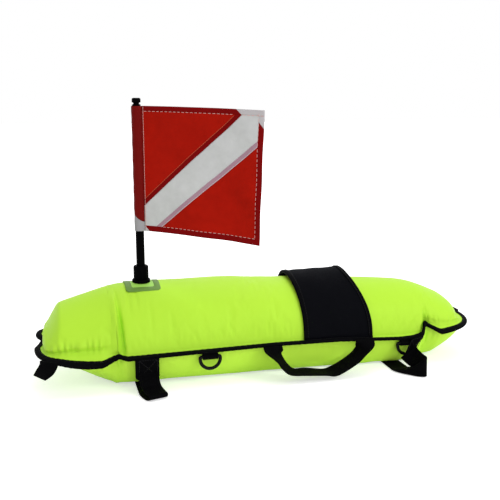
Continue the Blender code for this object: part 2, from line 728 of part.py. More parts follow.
def make_pole(seat):
    """Hollow pole standing in the socket, with its end plug and its mushroom cap."""
    outer = POLE_DIAMETER / 2
    inner = outer - POLE_WALL
    plug_r = inner - GAP
    low = SOCKET_FLOOR + GAP + PLUG_LENGTH / 6 + GAP
    top = low + POLE_HEIGHT
    centre = (pole_x, 0.0, seat)
    lathe("flag_pole", [(inner, low), (outer, low), (outer, top), (inner, top)], "black_plastic", centre)
    foot = SOCKET_FLOOR + GAP
    profile = [
        (0.0, foot), (outer - GAP, foot), (outer - GAP, low - GAP), (plug_r, low - GAP),
        (plug_r, low + PLUG_LENGTH), (0.0, low + PLUG_LENGTH),
    ]
    lathe("pole_plug", profile, "black_plastic", centre)
    neck = CAP_NECK_DIAMETER / 2
    head = CAP_HEAD_DIAMETER / 2
    seat_top = top + GAP
    neck_top = seat_top + CAP_NECK_HEIGHT
    head_top = neck_top + CAP_HEAD_HEIGHT
    rim = CAP_ROUNDING / 3
    profile = [
        (0.0, top - PLUG_LENGTH), (plug_r, top - PLUG_LENGTH), (plug_r, seat_top), (outer, seat_top),
        (outer, seat_top + rim), (neck, seat_top + 2 * rim), (neck, neck_top), (head, neck_top + rim),
        (head, head_top - CAP_ROUNDING), (head - rim, head_top - rim), (head - CAP_ROUNDING, head_top),
        (0.0, head_top),
    ]
    lathe("pole_cap", profile, "black_plastic", centre)
    return seat + top


def flag_place(along, up, top):
    """A point of the flag's cloth: along from the pole's axis, up from the flag's foot."""
    run = max(0.0, along - SLEEVE_REACH) / (FLAG_LENGTH - SLEEVE_REACH)
    along -= FLAG_TAPER * run * (1.0 - up / FLAG_HEIGHT)
    wave = FLAG_WAVE * run * math.sin(2 * math.pi * along / FLAG_WAVELENGTH + up / FLAG_HEIGHT)
    height = top - FLAG_HEIGHT + up - FLAG_DROOP * run ** 1.5
    direction = Vector((math.cos(FLAG_TURN), math.sin(FLAG_TURN), 0.0))
    across = Vector((-direction.y, direction.x, 0.0))
    centre = Vector((pole_x, 0.0, 0.0))
    return centre + direction * along + across * wave + Vector((0.0, 0.0, height)), across


def flag_panel(name, kind, keep, top):
    """One sewn panel of the flag: a grid cut along the stripe's two edges, then given its cloth."""
    work = bmesh.new()
    start = SLEEVE_REACH + GAP
    step_u = (FLAG_LENGTH - start) / FLAG_CELLS
    step_v = FLAG_HEIGHT / FLAG_CELLS
    grid = [[work.verts.new((start + i * step_u, j * step_v, 0.0)) for j in range(FLAG_CELLS + 1)]
            for i in range(FLAG_CELLS + 1)]
    for i in range(FLAG_CELLS):
        for j in range(FLAG_CELLS):
            work.faces.new((grid[i][j], grid[i + 1][j], grid[i + 1][j + 1], grid[i][j + 1]))
    for shares, side in keep:
        ends = [Vector((u * FLAG_LENGTH, v * FLAG_HEIGHT, 0.0)) for u, v in shares]
        slope = (ends[1] - ends[0]).normalized()
        normal = Vector((-slope.y, slope.x, 0.0)) * side
        geometry = list(work.verts) + list(work.edges) + list(work.faces)
        bmesh.ops.bisect_plane(work, geom=geometry, plane_co=ends[0] - normal * GAP / 2,
                               plane_no=normal, clear_outer=True)
    bmesh.ops.remove_doubles(work, verts=work.verts, dist=GAP / 3)
    bmesh.ops.triangulate(work, faces=work.faces)
    work.verts.index_update()
    verts, count = [], len(work.verts)
    for side in (-1, 1):
        for vert in work.verts:
            place, across = flag_place(vert.co.x, vert.co.y, top)
            verts.append(place + across * side * FLAG_CLOTH / 2)
    faces = [tuple(v.index for v in f.verts) for f in work.faces]
    faces += [tuple(v.index + count for v in reversed(f.verts)) for f in work.faces]
    for edge in work.edges:
        if len(edge.link_faces) == 1:
            a, b = (v.index for v in edge.verts)
            faces.append((a, b, b + count, a + count))
    work.free()
    build(name, verts, faces, kind, (pole_x, 0.0, 0.0))


def make_flag(top):
    """Two red fields, the white stripe between them, and the sleeve round the pole."""
    above, below = STRIPE_TOP_EDGE_SHARES, STRIPE_FOOT_EDGE_SHARES
    flag_panel("flag_field_upper", "flag_red", [(above, -1)], top)
    flag_panel("flag_stripe", "flag_white", [(above, 1), (below, -1)], top)
    flag_panel("flag_field_lower", "flag_red", [(below, 1)], top)
    inner = POLE_DIAMETER / 2 + SLEEVE_CLEARANCE
    outer = inner + FLAG_CLOTH
    steps = ROUND_STEPS * 3 // 4
    direction = Vector((math.cos(FLAG_TURN), math.sin(FLAG_TURN), 0.0))
    across = Vector((-direction.y, direction.x, 0.0))
    verts, faces = [], []
    for height in (top - FLAG_HEIGHT, top):
        for radius, tail in ((inner, SLEEVE_REACH - FLAG_CLOTH * 1.5), (outer, SLEEVE_REACH)):
            for k in range(steps):
                angle = 2 * math.pi * k / steps
                u = radius * math.cos(angle)
                if math.cos(angle) > 0:
                    u += (tail - radius) * math.cos(angle) ** 3
                v = radius * math.sin(angle)
                point = Vector((pole_x, 0.0, height)) + direction * u + across * v
                verts.append(point)
    for low, high in ((0, 2), (1, 3)):
        for k in range(steps):
            nxt = (k + 1) % steps
            faces.append((low * steps + k, low * steps + nxt, high * steps + nxt, high * steps + k))
    for inside, outside in ((0, 1), (2, 3)):
        for k in range(steps):
            nxt = (k + 1) % steps
            faces.append((inside * steps + k, inside * steps + nxt, outside * steps + nxt, outside * steps + k))
    build("flag_sleeve", verts, faces, "flag_red", (pole_x, 0.0, 0.0))


def band_path(share, angle):
    """Middle of the band at a share of its width (-1 to 1) and a section angle, and its outward way."""
    up = math.sin(math.radians(angle))
    width = BAND_END_WIDTH + (BAND_CREST_WIDTH - BAND_END_WIDTH) * up ** 3
    x = BAND_X + BAND_SKEW * up ** 3 + share * width / 2
    base = seam_z(x) + GAP / 2 + FABRIC
    lift = BAND_CREST_HEIGHT + BAND_TILT * share / 2 - crest_z(x) - BAND_THICKNESS
    stand = BAND_LIE + BAND_THICKNESS / 2 + max(lift - BAND_LIE, 0.0) * up ** 4
    wide = half_width(x, 0.0)
    high = crest_z(x) - base
    cosine = math.cos(math.radians(angle))
    normal = Vector((0.0, -high * cosine, wide * up)).normalized()
    return Vector((x, -wide * cosine, base + high * up)) + normal * stand, normal


def band_angles():
    """Section angles of the band, from just above the near binding to the far one."""
    first = math.degrees(math.asin(BAND_END_LIFT / (crest_z(BAND_X) - seam_z(BAND_X))))
    return [first + (180 - 2 * first) * k / BAND_STEPS for k in range(BAND_STEPS + 1)]


def make_band():
    """Neoprene band sewn to both seams, held clear of the crest, with edging on both sides."""
    half = BAND_THICKNESS / 2
    columns = (-1.0, -0.5, 0.0, 0.5, 1.0)
    angles = band_angles()
    verts, faces = [], []
    for side in (-1, 1):
        for angle in angles:
            for share in columns:
                middle, normal = band_path(share, angle)
                verts.append(middle + normal * half * side)
    rows, cols = len(angles), len(columns)
    layer = rows * cols
    for r in range(rows - 1):
        for c in range(cols - 1):
            a = r * cols + c
            faces.append((a, a + 1, a + cols + 1, a + cols))
            faces.append((a + layer, a + cols + layer, a + cols + 1 + layer, a + 1 + layer))
    rim = [c for c in range(cols)] + [r * cols + cols - 1 for r in range(1, rows)]
    rim += [(rows - 1) * cols + c for c in range(cols - 2, -1, -1)]
    rim += [r * cols for r in range(rows - 2, 0, -1)]
    for a, b in zip(rim, rim[1:] + rim[:1]):
        faces.append((a, b, b + layer, a + layer))
    build("hold_down_band", verts, faces, "neoprene")
    inside = half + 2 * GAP
    outside = inside + BAND_EDGING_TAPE
    for name, share in (("band_edging_front", -1.0), ("band_edging_rear", 1.0)):
        profile = (
            (-BAND_EDGING_WIDTH, -outside), (GAP + BAND_EDGING_TAPE, -outside),
            (GAP + BAND_EDGING_TAPE, outside), (-BAND_EDGING_WIDTH, outside),
            (-BAND_EDGING_WIDTH, inside), (GAP, inside), (GAP, -inside), (-BAND_EDGING_WIDTH, -inside),
        )
        verts, faces, n = [], [], len(profile)
        for angle in angles:
            middle, normal = band_path(share, angle)
            inner_middle, _ = band_path(share * 0.5, angle)
            away = (middle - inner_middle)
            away = (away - normal * away.dot(normal)).normalized()
            verts += [middle + away * u + normal * v for u, v in profile]
        for r in range(rows - 1):
            for i in range(n):
                j = (i + 1) % n
                faces.append((r * n + i, (r + 1) * n + i, (r + 1) * n + j, r * n + j))
        faces.append(tuple(range(n)))
        faces.append(tuple((rows - 1) * n + i for i in reversed(range(n))))
        build(name, verts, faces, "black_tape")


def smooth_route(points, steps):
    """Catmull-Rom points through a short list of vectors, steps to a span."""
    points = [Vector(p) for p in points]
    ends = [points[0] * 2 - points[1]] + points + [points[-1] * 2 - points[-2]]
    route = []
    for i in range(1, len(ends) - 2):
        p0, p1, p2, p3 = ends[i - 1:i + 3]
        for k in range(steps):
            t = k / steps
            route.append(0.5 * ((2 * p1) + (p2 - p0) * t + (2 * p0 - 5 * p1 + 4 * p2 - p3) * t ** 2
                                + (3 * p1 - p0 - 3 * p2 + p3) * t ** 3))
    route.append(points[-1])
    return route


def ribbon(name, knots, width, thickness, kind, steps=1, tail=(), origin=(0.0, 0.0, 0.0)):
    """Flat webbing along knots of (place, way across): a rectangle swept along a smooth route."""
    route = smooth_route([k[0] for k in knots], steps)
    sides = smooth_route([k[1].normalized() for k in knots], steps)
    if tail:
        joined = [knots[-1]] + list(tail)
        route += smooth_route([k[0] for k in joined], 2)[1:]
        sides += smooth_route([k[1].normalized() for k in joined], 2)[1:]
    verts, faces = [], []
    for i, (place, side) in enumerate(zip(route, sides)):
        ahead = route[min(i + 1, len(route) - 1)] - route[max(i - 1, 0)]
        normal = ahead.cross(side).normalized()
        for u, v in ((-1, -1), (1, -1), (1, 1), (-1, 1)):
            verts.append(place + side * u * width / 2 + normal * v * thickness / 2)
    for i in range(len(route) - 1):
        for k in range(4):
            a, b = i * 4 + k, i * 4 + (k + 1) % 4
            faces.append((a, b, b + 4, a + 4))
    last = (len(route) - 1) * 4
    faces += [(0, 1, 2, 3), (last + 3, last + 2, last + 1, last)]
    return build(name, verts, faces, kind, origin, smooth=False)


def seam_outside(x, reach):
    """Middle plane and top of webbing sewn to the outer face of the near binding."""
    edges = [flange_points(x + side * reach)[1] for side in (-1, 0, 1)]
    return min(e.y for e in edges) - BINDING_TAPE - 3 * GAP - WEBBING / 2, edges[1].z


def belly_knots(x):
    """Route of a belly strap from the far seam, down the far side and flat under the hull."""
    knots = []
    stand = WEBBING / 2 + WEBBING_STAND
    half = WEBBING_WIDTH / 2
    for angle in BELLY_STRAP_ANGLES:
        points = [lower_point(x + side * half, angle, -stand, GAP / 2 + FABRIC) for side in (-1, 0, 1)]
        far = max(p[1] for p in points) if angle > 90 else min(p[1] for p in points)
        low = min(p[2] for p in points)
        knots.append((Vector((x, far, max(low, WEBBING / 2))), Vector((1.0, 0.0, 0.0))))
    return knots


def strap_end(x, y, table):
    """Knots of a strap's free part from a table of shares of the webbing's width."""
    knots = []
    for along, out, up, side in table:
        place = Vector((x + along * WEBBING_WIDTH, y - out * WEBBING_WIDTH, up * WEBBING_WIDTH))
        place.z = max(place.z, WEBBING / 2)
        knots.append((place, Vector(side)))
    return knots


def make_belly_strap(name, tab_name, x, tab_x, tab_width, table, tab_lean):
    """A tab from the near seam, and the strap that loops out over the floor and back up to it."""
    y, top = seam_outside(tab_x, tab_width / 2)
    low = top - TAB_LENGTH
    lean = Vector((tab_lean * TAB_LENGTH, 0.0, 0.0))
    across = Vector((1.0, 0.0, 0.0))
    slanted = Vector((1.0, 0.0, -tab_lean)).normalized()
    knots = [(Vector((tab_x, y, top)), across), (Vector((tab_x, y, top - TAB_LENGTH / 8)), across),
             (Vector((tab_x, y, (top + low) / 2)) + lean / 2, slanted), (Vector((tab_x, y, low)) + lean, slanted)]
    ribbon(tab_name, knots, tab_width, WEBBING, "webbing")
    ribbon(name, belly_knots(x), WEBBING_WIDTH, WEBBING, "webbing", tail=strap_end(x, y, table))


def make_corner_loop(name, place, out, along, lean):
    """Folded webbing hanging from the outer face of the binding, with an open eye at its foot."""
    half = CORNER_LOOP_OPENING / 2
    bend = half + WEBBING / 2
    near = WEBBING / 2 + GAP
    length = CORNER_LOOP_LENGTH
    shape = (
        (near, 0.0), (near, -0.25 * length), (bend, bend * 2 - length), (0.0, -length),
        (-bend, bend * 2 - length), (-near, -0.25 * length), (-near, 0.0),
    )
    start = near + WEBBING / 2 + 2 * GAP + BINDING_TAPE
    knots = []
    for u, down in shape:
        drop = (down / length) ** 2
        sway = Vector((lean, 0.0, 0.0)) * drop
        turn = Matrix.Rotation(-CORNER_LOOP_TWIST * drop * (lean != 0), 3, "Z")
        knots.append((place + out * start + turn @ out * u + sway + Vector((0.0, 0.0, down)), turn @ along))
    ribbon(name, knots, WEBBING_WIDTH, WEBBING, "webbing", steps=3)


def make_corner_loops():
    """One loop at the near front corner, and one at the middle of the rear end."""
    seam, edge, _ = flange_points(CORNER_LOOP_X)
    out = Vector((edge.x - seam.x, edge.y - seam.y, 0.0)).normalized()
    along = Vector((-out.y, out.x, 0.0))
    place = edge + Vector((0.0, 0.0, BINDING_WIDTH / 3))
    make_corner_loop("corner_loop_front", place, out, along, -CORNER_LOOP_LEAN)
    _, edge, _ = flange_points(half_length)
    place = edge + Vector((0.0, WEBBING_WIDTH / 2, BINDING_WIDTH / 3))
    make_corner_loop("end_loop_rear", place, Vector((1.0, 0.0, 0.0)), Vector((0.0, 1.0, 0.0)), 0.0)


def make_handle():
    """Webbing carry handle sewn to the near seam at both ends, hanging slack and twisted."""
    start = HANDLE_X - HANDLE_SPAN / 2
    y, top = seam_outside(HANDLE_X, (HANDLE_SPAN + HANDLE_WIDTH) / 2)
    knots = []
    for along, down, bow, side in HANDLE_SHARES:
        place = Vector((start + HANDLE_SPAN * along, y - HANDLE_BOW * bow, top - HANDLE_DROP * down))
        knots.append((place, Vector(side)))
    ribbon("carry_handle", knots, HANDLE_WIDTH, WEBBING, "webbing", steps=2, origin=(HANDLE_X, y, top))


def ring_outline():
    """Centre line of a D-ring in (along, down), bar first, then round the bow."""
    wide = (RING_WIDTH - RING_WIRE) / 2
    tall = RING_HEIGHT - RING_WIRE
    corner = RING_WIRE * 0.35
    points = [(-wide + corner, 0.0), (0.0, 0.0), (wide - corner, 0.0), (wide, -corner)]
    bow = 9
    straight = tall - wide
    for k in range(bow + 1):
        angle = math.pi * k / bow
        points.append((wide * math.cos(angle), -straight - wide * math.sin(angle)))
    points.append((-wide, -corner))
    return points


def make_tow_ring(name, x, far, outside):
    """A D-ring hanging in its sewn webbing tab under the seam."""
    wire = RING_WIRE / 2
    hole = wire + RING_TAB_CLEARANCE
    skin = hole + RING_TAB_WEBBING
    tab_half = RING_WIDTH / 2 - RING_WIRE - RING_TAB_SIDE_GAP
    inward = BINDING_WIDTH * 0.75
    undersides = []
    for seam, edge, up in (flange_points(x + side * tab_half) for side in (-1, 0, 1)):
        undersides.append(edge - (edge - seam).normalized() * (inward - RING_TAB_WEBBING) - up * outside)
    neck_top = min(p.z for p in undersides) - GAP
    y = flange_points(x)[1].y + inward
    axis_z = neck_top - skin - RING_TAB_NECK
    if far:
        y = -y
    steps = 16
    verts, faces = [], []
    for side in (-1, 1):
        for k in range(steps):
            angle = 2 * math.pi * k / steps
            verts.append((x + side * tab_half, y + hole * math.cos(angle), axis_z + hole * math.sin(angle)))
        for k in range(steps):
            angle = 2 * math.pi * k / steps
            v, w = skin * math.cos(angle), skin * math.sin(angle)
            if k in (3, 4, 5):
                v, w = (4 - k) * RING_TAB_WEBBING, neck_top - axis_z
            verts.append((x + side * tab_half, y + v, axis_z + w))
    for k in range(steps):
        nxt = (k + 1) % steps
        faces.append((k, nxt, steps + nxt, steps + k))
        faces.append((2 * steps + k, 2 * steps + nxt, 3 * steps + nxt, 3 * steps + k))
        faces.append((k, nxt, 2 * steps + nxt, 2 * steps + k))
        faces.append((steps + k, steps + nxt, 3 * steps + nxt, 3 * steps + k))
    build("ring_tab_" + name, verts, faces, "webbing")

    outline = ring_outline()
    count, sides = len(outline), 8
    verts, faces = [], []
    for k, (u, w) in enumerate(outline):
        before, after = Vector(outline[k - 1]), Vector(outline[(k + 1) % count])
        here = Vector((u, w))
        one, two = (here - before).normalized(), (after - here).normalized()
        tangent = (one + two).normalized()
        outward = Vector((tangent.y, -tangent.x)) * -1
        stretch = 1.0 / max(tangent.dot(one), 0.5)
        for i in range(sides):
            angle = 2 * math.pi * (i + 0.5) / sides
            r = wire / math.cos(math.pi / sides)
            radial = outward * r * math.cos(angle) * stretch
            verts.append((x + u + radial.x, y + r * math.sin(angle), axis_z + w + radial.y))
    for k in range(count):
        nxt = (k + 1) % count
        for i in range(sides):
            j = (i + 1) % sides
            faces.append((k * sides + i, nxt * sides + i, nxt * sides + j, k * sides + j))
    build("tow_ring_" + name, verts, faces, "ring_metal", (x, y, axis_z))


def make_valve(cover, bladder):
    """Oral inflation valve: base with a tube, a push-in mouthpiece and a dust cap."""
    up = math.sin(VALVE_ANGLE)
    _, y, z = upper_point(VALVE_X, math.degrees(VALVE_ANGLE), 0.0, GAP / 2 + FABRIC)
    wide, high = half_width(VALVE_X, 0.0), crest_z(VALVE_X) - seam_z(VALVE_X)
    axis = Vector((0.0, -high * math.cos(VALVE_ANGLE), wide * up)).normalized()
    base_r = VALVE_BASE_DIAMETER / 2
    tube_r = VALVE_TUBE_DIAMETER / 2
    bore_r = MOUTHPIECE_DIAMETER / 2 + GAP
    seat = Vector((VALVE_X, y, z)) + axis * GAP * 2
    hole = lathe("valve_hole_cutter", [(0.0, -OVERRUN * 3), (VALVE_HOLE_DIAMETER / 2, -OVERRUN * 3),
                                       (VALVE_HOLE_DIAMETER / 2, OVERRUN), (0.0, OVERRUN)],
                 "valve_plastic", seat, axis, steps=20)
    cut(cover, hole)
    cut(bladder, hole)
    chamfer = VALVE_BASE_HEIGHT / 3
    profile = [
        (bore_r, -VALVE_STEM_DEPTH), (VALVE_HOLE_DIAMETER / 2 - 2 * GAP, -VALVE_STEM_DEPTH),
        (VALVE_HOLE_DIAMETER / 2 - 2 * GAP, 0.0), (base_r, 0.0), (base_r, VALVE_BASE_HEIGHT - chamfer),
        (base_r - chamfer, VALVE_BASE_HEIGHT), (tube_r, VALVE_BASE_HEIGHT), (tube_r, VALVE_TUBE_HEIGHT),
        (bore_r, VALVE_TUBE_HEIGHT),
    ]
    lathe("valve_base", profile, "valve_plastic", seat, axis, steps=24)
    piece_r = MOUTHPIECE_DIAMETER / 2
    piece_top = VALVE_TUBE_HEIGHT + MOUTHPIECE_STAND
    rim_r = MOUTHPIECE_RIM_DIAMETER / 2
    inner = MOUTHPIECE_BORE / 2
    profile = [
        (inner, 0.0), (piece_r, 0.0), (piece_r, piece_top - MOUTHPIECE_RIM_HEIGHT),
        (rim_r, piece_top - MOUTHPIECE_RIM_HEIGHT), (rim_r, piece_top), (inner, piece_top),
    ]
    lathe("valve_mouthpiece", profile, "rubber", seat, axis, steps=24)
    cap_r = VALVE_CAP_DIAMETER / 2
    cap_top = piece_top + GAP + VALVE_CAP_WALL
    cap_low = cap_top - VALVE_CAP_HEIGHT
    cap_in = cap_r - VALVE_CAP_WALL
    profile = [
        (0.0, cap_top - VALVE_CAP_WALL), (cap_in, cap_top - VALVE_CAP_WALL), (cap_in, cap_low),
        (cap_r, cap_low), (cap_r, cap_top - VALVE_CAP_WALL / 2), (cap_r - VALVE_CAP_WALL / 2, cap_top),
        (0.0, cap_top),
    ]
    lathe("valve_cap", profile, "black_plastic", seat, axis, steps=24)


def main():
    cover = make_covers()
    inset = FABRIC + BLADDER_GAP
    bladder = pillow("air_bladder", inset, STATION_MERGE, "bladder_film")
    hollow = pillow("bladder_hollow_cutter", inset + BLADDER_WALL, STATION_MERGE + 2 * BLADDER_WALL, "bladder_film")
    cut(bladder, hollow)
    make_valve(cover, bladder)
    outside = binding_loop()
    make_pole_patch()
    top = make_pole(make_socket())
    make_flag(top - FLAG_TOP_INSET)
    make_band()
    make_belly_strap("belly_strap_front", "strap_tab_front", FRONT_STRAP_X, FRONT_STRAP_X,
                     FRONT_TAB_WIDTH, FRONT_STRAP_SHARES, 0.0)
    make_belly_strap("belly_strap_rear", "strap_tab_rear", REAR_STRAP_X, REAR_TAB_X,
                     REAR_TAB_WIDTH, REAR_STRAP_SHARES, -REAR_TAB_LEAN)
    make_corner_loops()
    for place, x in (("front", FRONT_RING_X), ("rear", REAR_RING_X)):
        make_tow_ring("near_" + place, x, False, outside)
        make_tow_ring("far_" + place, x, True, outside)
    make_handle()


main()
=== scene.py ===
import functools
import json
import math

import bmesh
import bpy
import numpy as np
from mathutils import Matrix, Vector


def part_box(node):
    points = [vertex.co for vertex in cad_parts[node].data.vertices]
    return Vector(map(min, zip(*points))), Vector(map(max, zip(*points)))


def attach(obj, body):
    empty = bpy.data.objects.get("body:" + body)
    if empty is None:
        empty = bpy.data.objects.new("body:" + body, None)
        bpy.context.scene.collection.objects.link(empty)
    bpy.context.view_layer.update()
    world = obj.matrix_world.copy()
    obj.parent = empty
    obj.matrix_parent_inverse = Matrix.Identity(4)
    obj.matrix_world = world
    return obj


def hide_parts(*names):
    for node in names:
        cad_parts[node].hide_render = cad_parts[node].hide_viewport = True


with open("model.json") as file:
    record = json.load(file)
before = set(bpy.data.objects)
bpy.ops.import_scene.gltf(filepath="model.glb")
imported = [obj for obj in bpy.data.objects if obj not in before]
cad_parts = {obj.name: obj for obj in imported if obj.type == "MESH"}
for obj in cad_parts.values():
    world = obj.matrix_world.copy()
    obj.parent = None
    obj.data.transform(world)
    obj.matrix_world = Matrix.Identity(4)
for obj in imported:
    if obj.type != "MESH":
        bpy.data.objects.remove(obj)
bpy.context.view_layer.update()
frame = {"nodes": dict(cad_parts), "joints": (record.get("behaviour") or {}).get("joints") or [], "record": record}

# Clearances and cloth, in metres
GAP = 0.0003
FABRIC = 0.0009
FABRIC_TOP = GAP / 2 + FABRIC
WELD = 0.00001

# Angles between the faces of solids: taken as flat, rounded over, and shaded as an edge
FLAT_ANGLE = math.radians(0.5)
SHARP_ANGLE = math.radians(32.0)
SMOOTH_ANGLE = math.radians(48.0)

# Hull
HULL_LENGTH = 0.862
SEAM_HALF_WIDTH = 0.098
SEAM_HEIGHT = 0.070
CREST_HEIGHT = 0.184
BELLY_DEPTH = 0.088
BELLY_ROUNDING = 0.012
STRAP_RELIEF = 0.0028
FRONT_RELIEF = 0.0045
FRONT_RELIEF_X = -0.060
NOSE_LENGTH = 0.075
FRONT_NOSE_POWER = 3.6
REAR_NOSE_POWER = 2.6
FRONT_FACE_RUN = 0.032
REAR_FACE_RUN = 0.012
FRONT_NOTCH_INSET = 0.136
REAR_NOTCH_INSET = 0.106
NOTCH_END_SPAN = 0.030
NOTCH_BODY_SPAN = 0.012
FRONT_NOTCH_DEPTH = 0.011
REAR_NOTCH_DEPTH = 0.019
FOLD_RUN = 0.004
SOFT_RUN = 0.022
FLANGE_WIDTH = 0.017
FLANGE_DROOP = 0.012
EAR_HANG = 0.0048
EAR_HANG_X = -0.356
EAR_HANG_RUN = 0.042
NOTCH_RISES = (
    (-0.036, 0.0), (-0.020, 0.0030), (-0.010, 0.0060), (-0.005, 0.0068), (0.0, 0.0025), (0.010, 0.0),
)
HULL_STEP = 0.0022
NOSE_ROWS = 50
CREASE_RUN = 0.014
DOME_COLUMNS = 104
BELLY_COLUMNS = 72
FLANGE_ROWS = 5

# Pleats round the seam, and the strip of flange that the ears bare; angles in degrees up from the seam
PLEAT_PITCH = 0.011
PLEAT_HEIGHT = 0.0058
PLEAT_MEAN = 0.55
PLEAT_ANGLE = 12.0
PLEAT_REACH = 6.0
PLEAT_DRIFT = 0.019
PLEAT_SWAY = 0.8
FRONT_PLEAT_X = -0.368
FRONT_PLEAT_RUN = 0.050
REAR_PLEAT_RUN = 0.045
REAR_PLEAT_SHARE = 0.4
BODY_PLEAT_SHARE = 0.10
EAR_STEP = 0.0072
REAR_STEP_SHARE = 0.22
EAR_STEP_ANGLE = 6.5
EAR_STEP_FADE = 3.0

# Darts by the notches and slack of the covers
DART_X = -0.0015
DART_LEAN = 0.006
DART_RIDGE_WIDTH = 0.0075
DART_RIDGE_HEIGHT = 0.0080
DART_LINE_WIDTH = 0.0024
DART_DEPTH = 0.0078
DART_TOP_SHARE = 0.96
DART_FADE = 0.45
DART_FOOT_SHARE = 0.25
DART_FOOT_RUN = 0.10
REAR_DART_DEPTH = 0.0030
REAR_DART_SHARE = 0.6
REAR_DART_X = 0.002
REAR_DART_RIDGE_X = 0.012
REAR_RIDGE_SHARE = 0.6
TOP_FULLNESS = 0.0028
TOP_FULL_X = -0.090
TOP_FULL_RUN = 0.085
REAR_FACE_REACH = 0.030
REAR_FACE_INSET = 0.0065
FACE_FADE = 0.3
LOWER_DART_DEPTH = 0.0036
LOWER_DART_SHARES = (0.9, 0.85)
LOWER_CORNER_HEIGHT = 0.0032
REAR_CREASE_LEAN = 0.034
REAR_RIDGE_RUN = 0.011
SLACK_HEIGHT = 0.0010
UPPER_SLACK_WAVES = (31.0, 1.3, 2.5, 9.0)
LOWER_SLACK_WAVES = (37.0, 2.0, 11.0)
SLACK_LINE_WIDTH = 0.0042
SLACK_LINES = (
    (0.024, 0.80, 0.28, 0.0022), (0.038, 0.84, 0.24, 0.0019), (0.062, 0.55, 0.40, 0.0015),
    (0.100, 0.40, 0.35, 0.0017),
)

# The front end, drawn in at its middle, and its far corner curled up
NOSE_SET_X = -0.400
NOSE_SET_RUN = 0.030
NOSE_SET_HEIGHT = 0.035
NOSE_PINCH = 0.0140
NOSE_PINCH_Y = 0.017
NOSE_PINCH_HALF = 0.021
FAR_CORNER_RUN = 0.068
FAR_CORNER_CURL = 0.0065

# Cloth simulation of the covers: every second point of the grid, for some frames
SIM_STRIDE = 2
SIM_FRAMES = 20
SIM_QUALITY = 5
SIM_MASS = 0.15
SIM_STIFFNESS = 15.0
SIM_BENDING = 0.05
SIM_PRESSURE = 4.0
SIM_SLACK = 0.018
SIM_NOSE_SHARE = 0.45
SIM_BLUR = 4
SIM_LIMIT = 0.0020

# Where pieces hold the covers flat, the valve's hole in them, and the bladder inside; angles in degrees
HELD_SHARE = 0.15
CROWN_SHARE = 0.35
SEAM_ANGLE = 12.0
SEAM_REACH = 18.0
HELD_RUN = 0.030
PATCH_ANGLE = 26.0
VALVE_X = -0.120
VALVE_ANGLE = 148.0
VALVE_RADIUS = 0.017
VALVE_WELL_DEPTH = 0.0055
VALVE_WELL_RADIUS = 0.0125
BLADDER_SHRINK = (0.97, 0.89, 0.88)

# Stitches as (length, gap) and (width, height), and a stitch's section and rise along it
STITCH_SECTION = ((-0.5, -0.5), (-0.3, 1.0), (0.3, 1.0), (0.5, -0.5))
STITCH_RISES = ((0.0, 0.3), (0.25, 1.0), (0.75, 1.0), (1.0, 0.3))
STITCH_INSET_SHARE = 0.78

# Binding
BINDING_WIDTH = 0.0075
BINDING_TAPE = 0.0008
BINDING_SHOULDER = 0.0006
BINDING_WAVE = 0.00045
EAR_WAVE_RUN = 0.07
BODY_WAVE_SHARE = 0.4
WAVE_DRIFT = 90.0
NOTCH_SWELL = 1.4
NOTCH_SWELL_X = 0.006
NOTCH_SWELL_RUN = 0.012
BINDING_ROUND_STEPS = 8
TAPE_INSIDE = FABRIC_TOP + 2 * GAP
TAPE_OUTSIDE = TAPE_INSIDE + BINDING_TAPE
BINDING_STITCH = (0.0034, 0.0016)
BINDING_STITCH_SIZE = (0.0008, 0.0003)
TAPE_WIDTHS = (
    (-0.431, 0.0090), (-0.410, 0.0126), (-0.375, 0.0142), (-0.335, 0.0132), (-0.300, 0.0104),
    (-0.270, 0.0094), (-0.200, 0.0086), (0.120, 0.0080), (0.200, 0.0055), (0.290, 0.0060),
    (0.320, 0.0095), (0.370, 0.0112), (0.431, 0.0090),
)

# Pole, socket and patch
POLE_INSET = 0.055
PATCH_LENGTH = 0.066
PATCH_WIDTH = 0.078
PATCH_CORNER = 0.007
PATCH_THICKNESS = 0.0012
PATCH_FRAME = 0.0115
PATCH_STEP = 0.0005
PATCH_ROUNDING = 0.0005
PATCH_FRAME_ROUNDING = 0.0008
PATCH_CORNER_STEPS = 6
PATCH_CELL = 0.004
POLE_DIAMETER = 0.0165

# Flag
FLAG_LENGTH = 0.254
FLAG_HEIGHT = 0.234
FLAG_TAPER = 0.0095
FLY_DROOP = 0.0065
FLAG_TURN = math.radians(-36.0)
FLAG_CLOTH = 0.0008
FLAG_DROOP = 0.006
FLAG_WAVE = 0.0035
FLAG_WAVELENGTH = 0.150
FLAG_RIPPLE = 0.0012
FLAG_RIPPLE_LENGTH = 0.062
FLAG_CELLS = 96
FLAG_STITCH_STEPS = 40
STRIPE_TOP_EDGE_SHARES = ((0.042, 0.203), (0.812, 0.940))
STRIPE_FOOT_EDGE_SHARES = ((0.171, 0.022), (0.963, 0.734))
SLEEVE_REACH = 0.0115
SLEEVE_FOOT = 0.026
SLEEVE_SLANT = 0.008
SLEEVE_STITCH_INSET = 0.0025
SLEEVE_STEPS = 72
SLEEVE_LEVELS = 60
SLEEVE_RUFFLE = 0.00022
SLEEVE_RUFFLE_TURNS = 210.0
TOP_HEM = 0.0095
FLY_HEM = 0.010
FOOT_HEM = 0.0105
FOLD_BAND = 0.0087
STRIPE_SEAM = 0.0085
HEM_TURN = 0.011
FLY_TURN = 0.020
HEM_CLOTH = 0.00035
HEM_STITCH = (0.0052, 0.0034)
CLOSE_STITCH = (0.0042, 0.0006)
FLAG_STITCH_SIZE = (0.0009, 0.00025)
SLEEVE_CLEARANCE = 0.0006
HEM_SIDE = FLAG_CLOTH + 2 * HEM_CLOTH

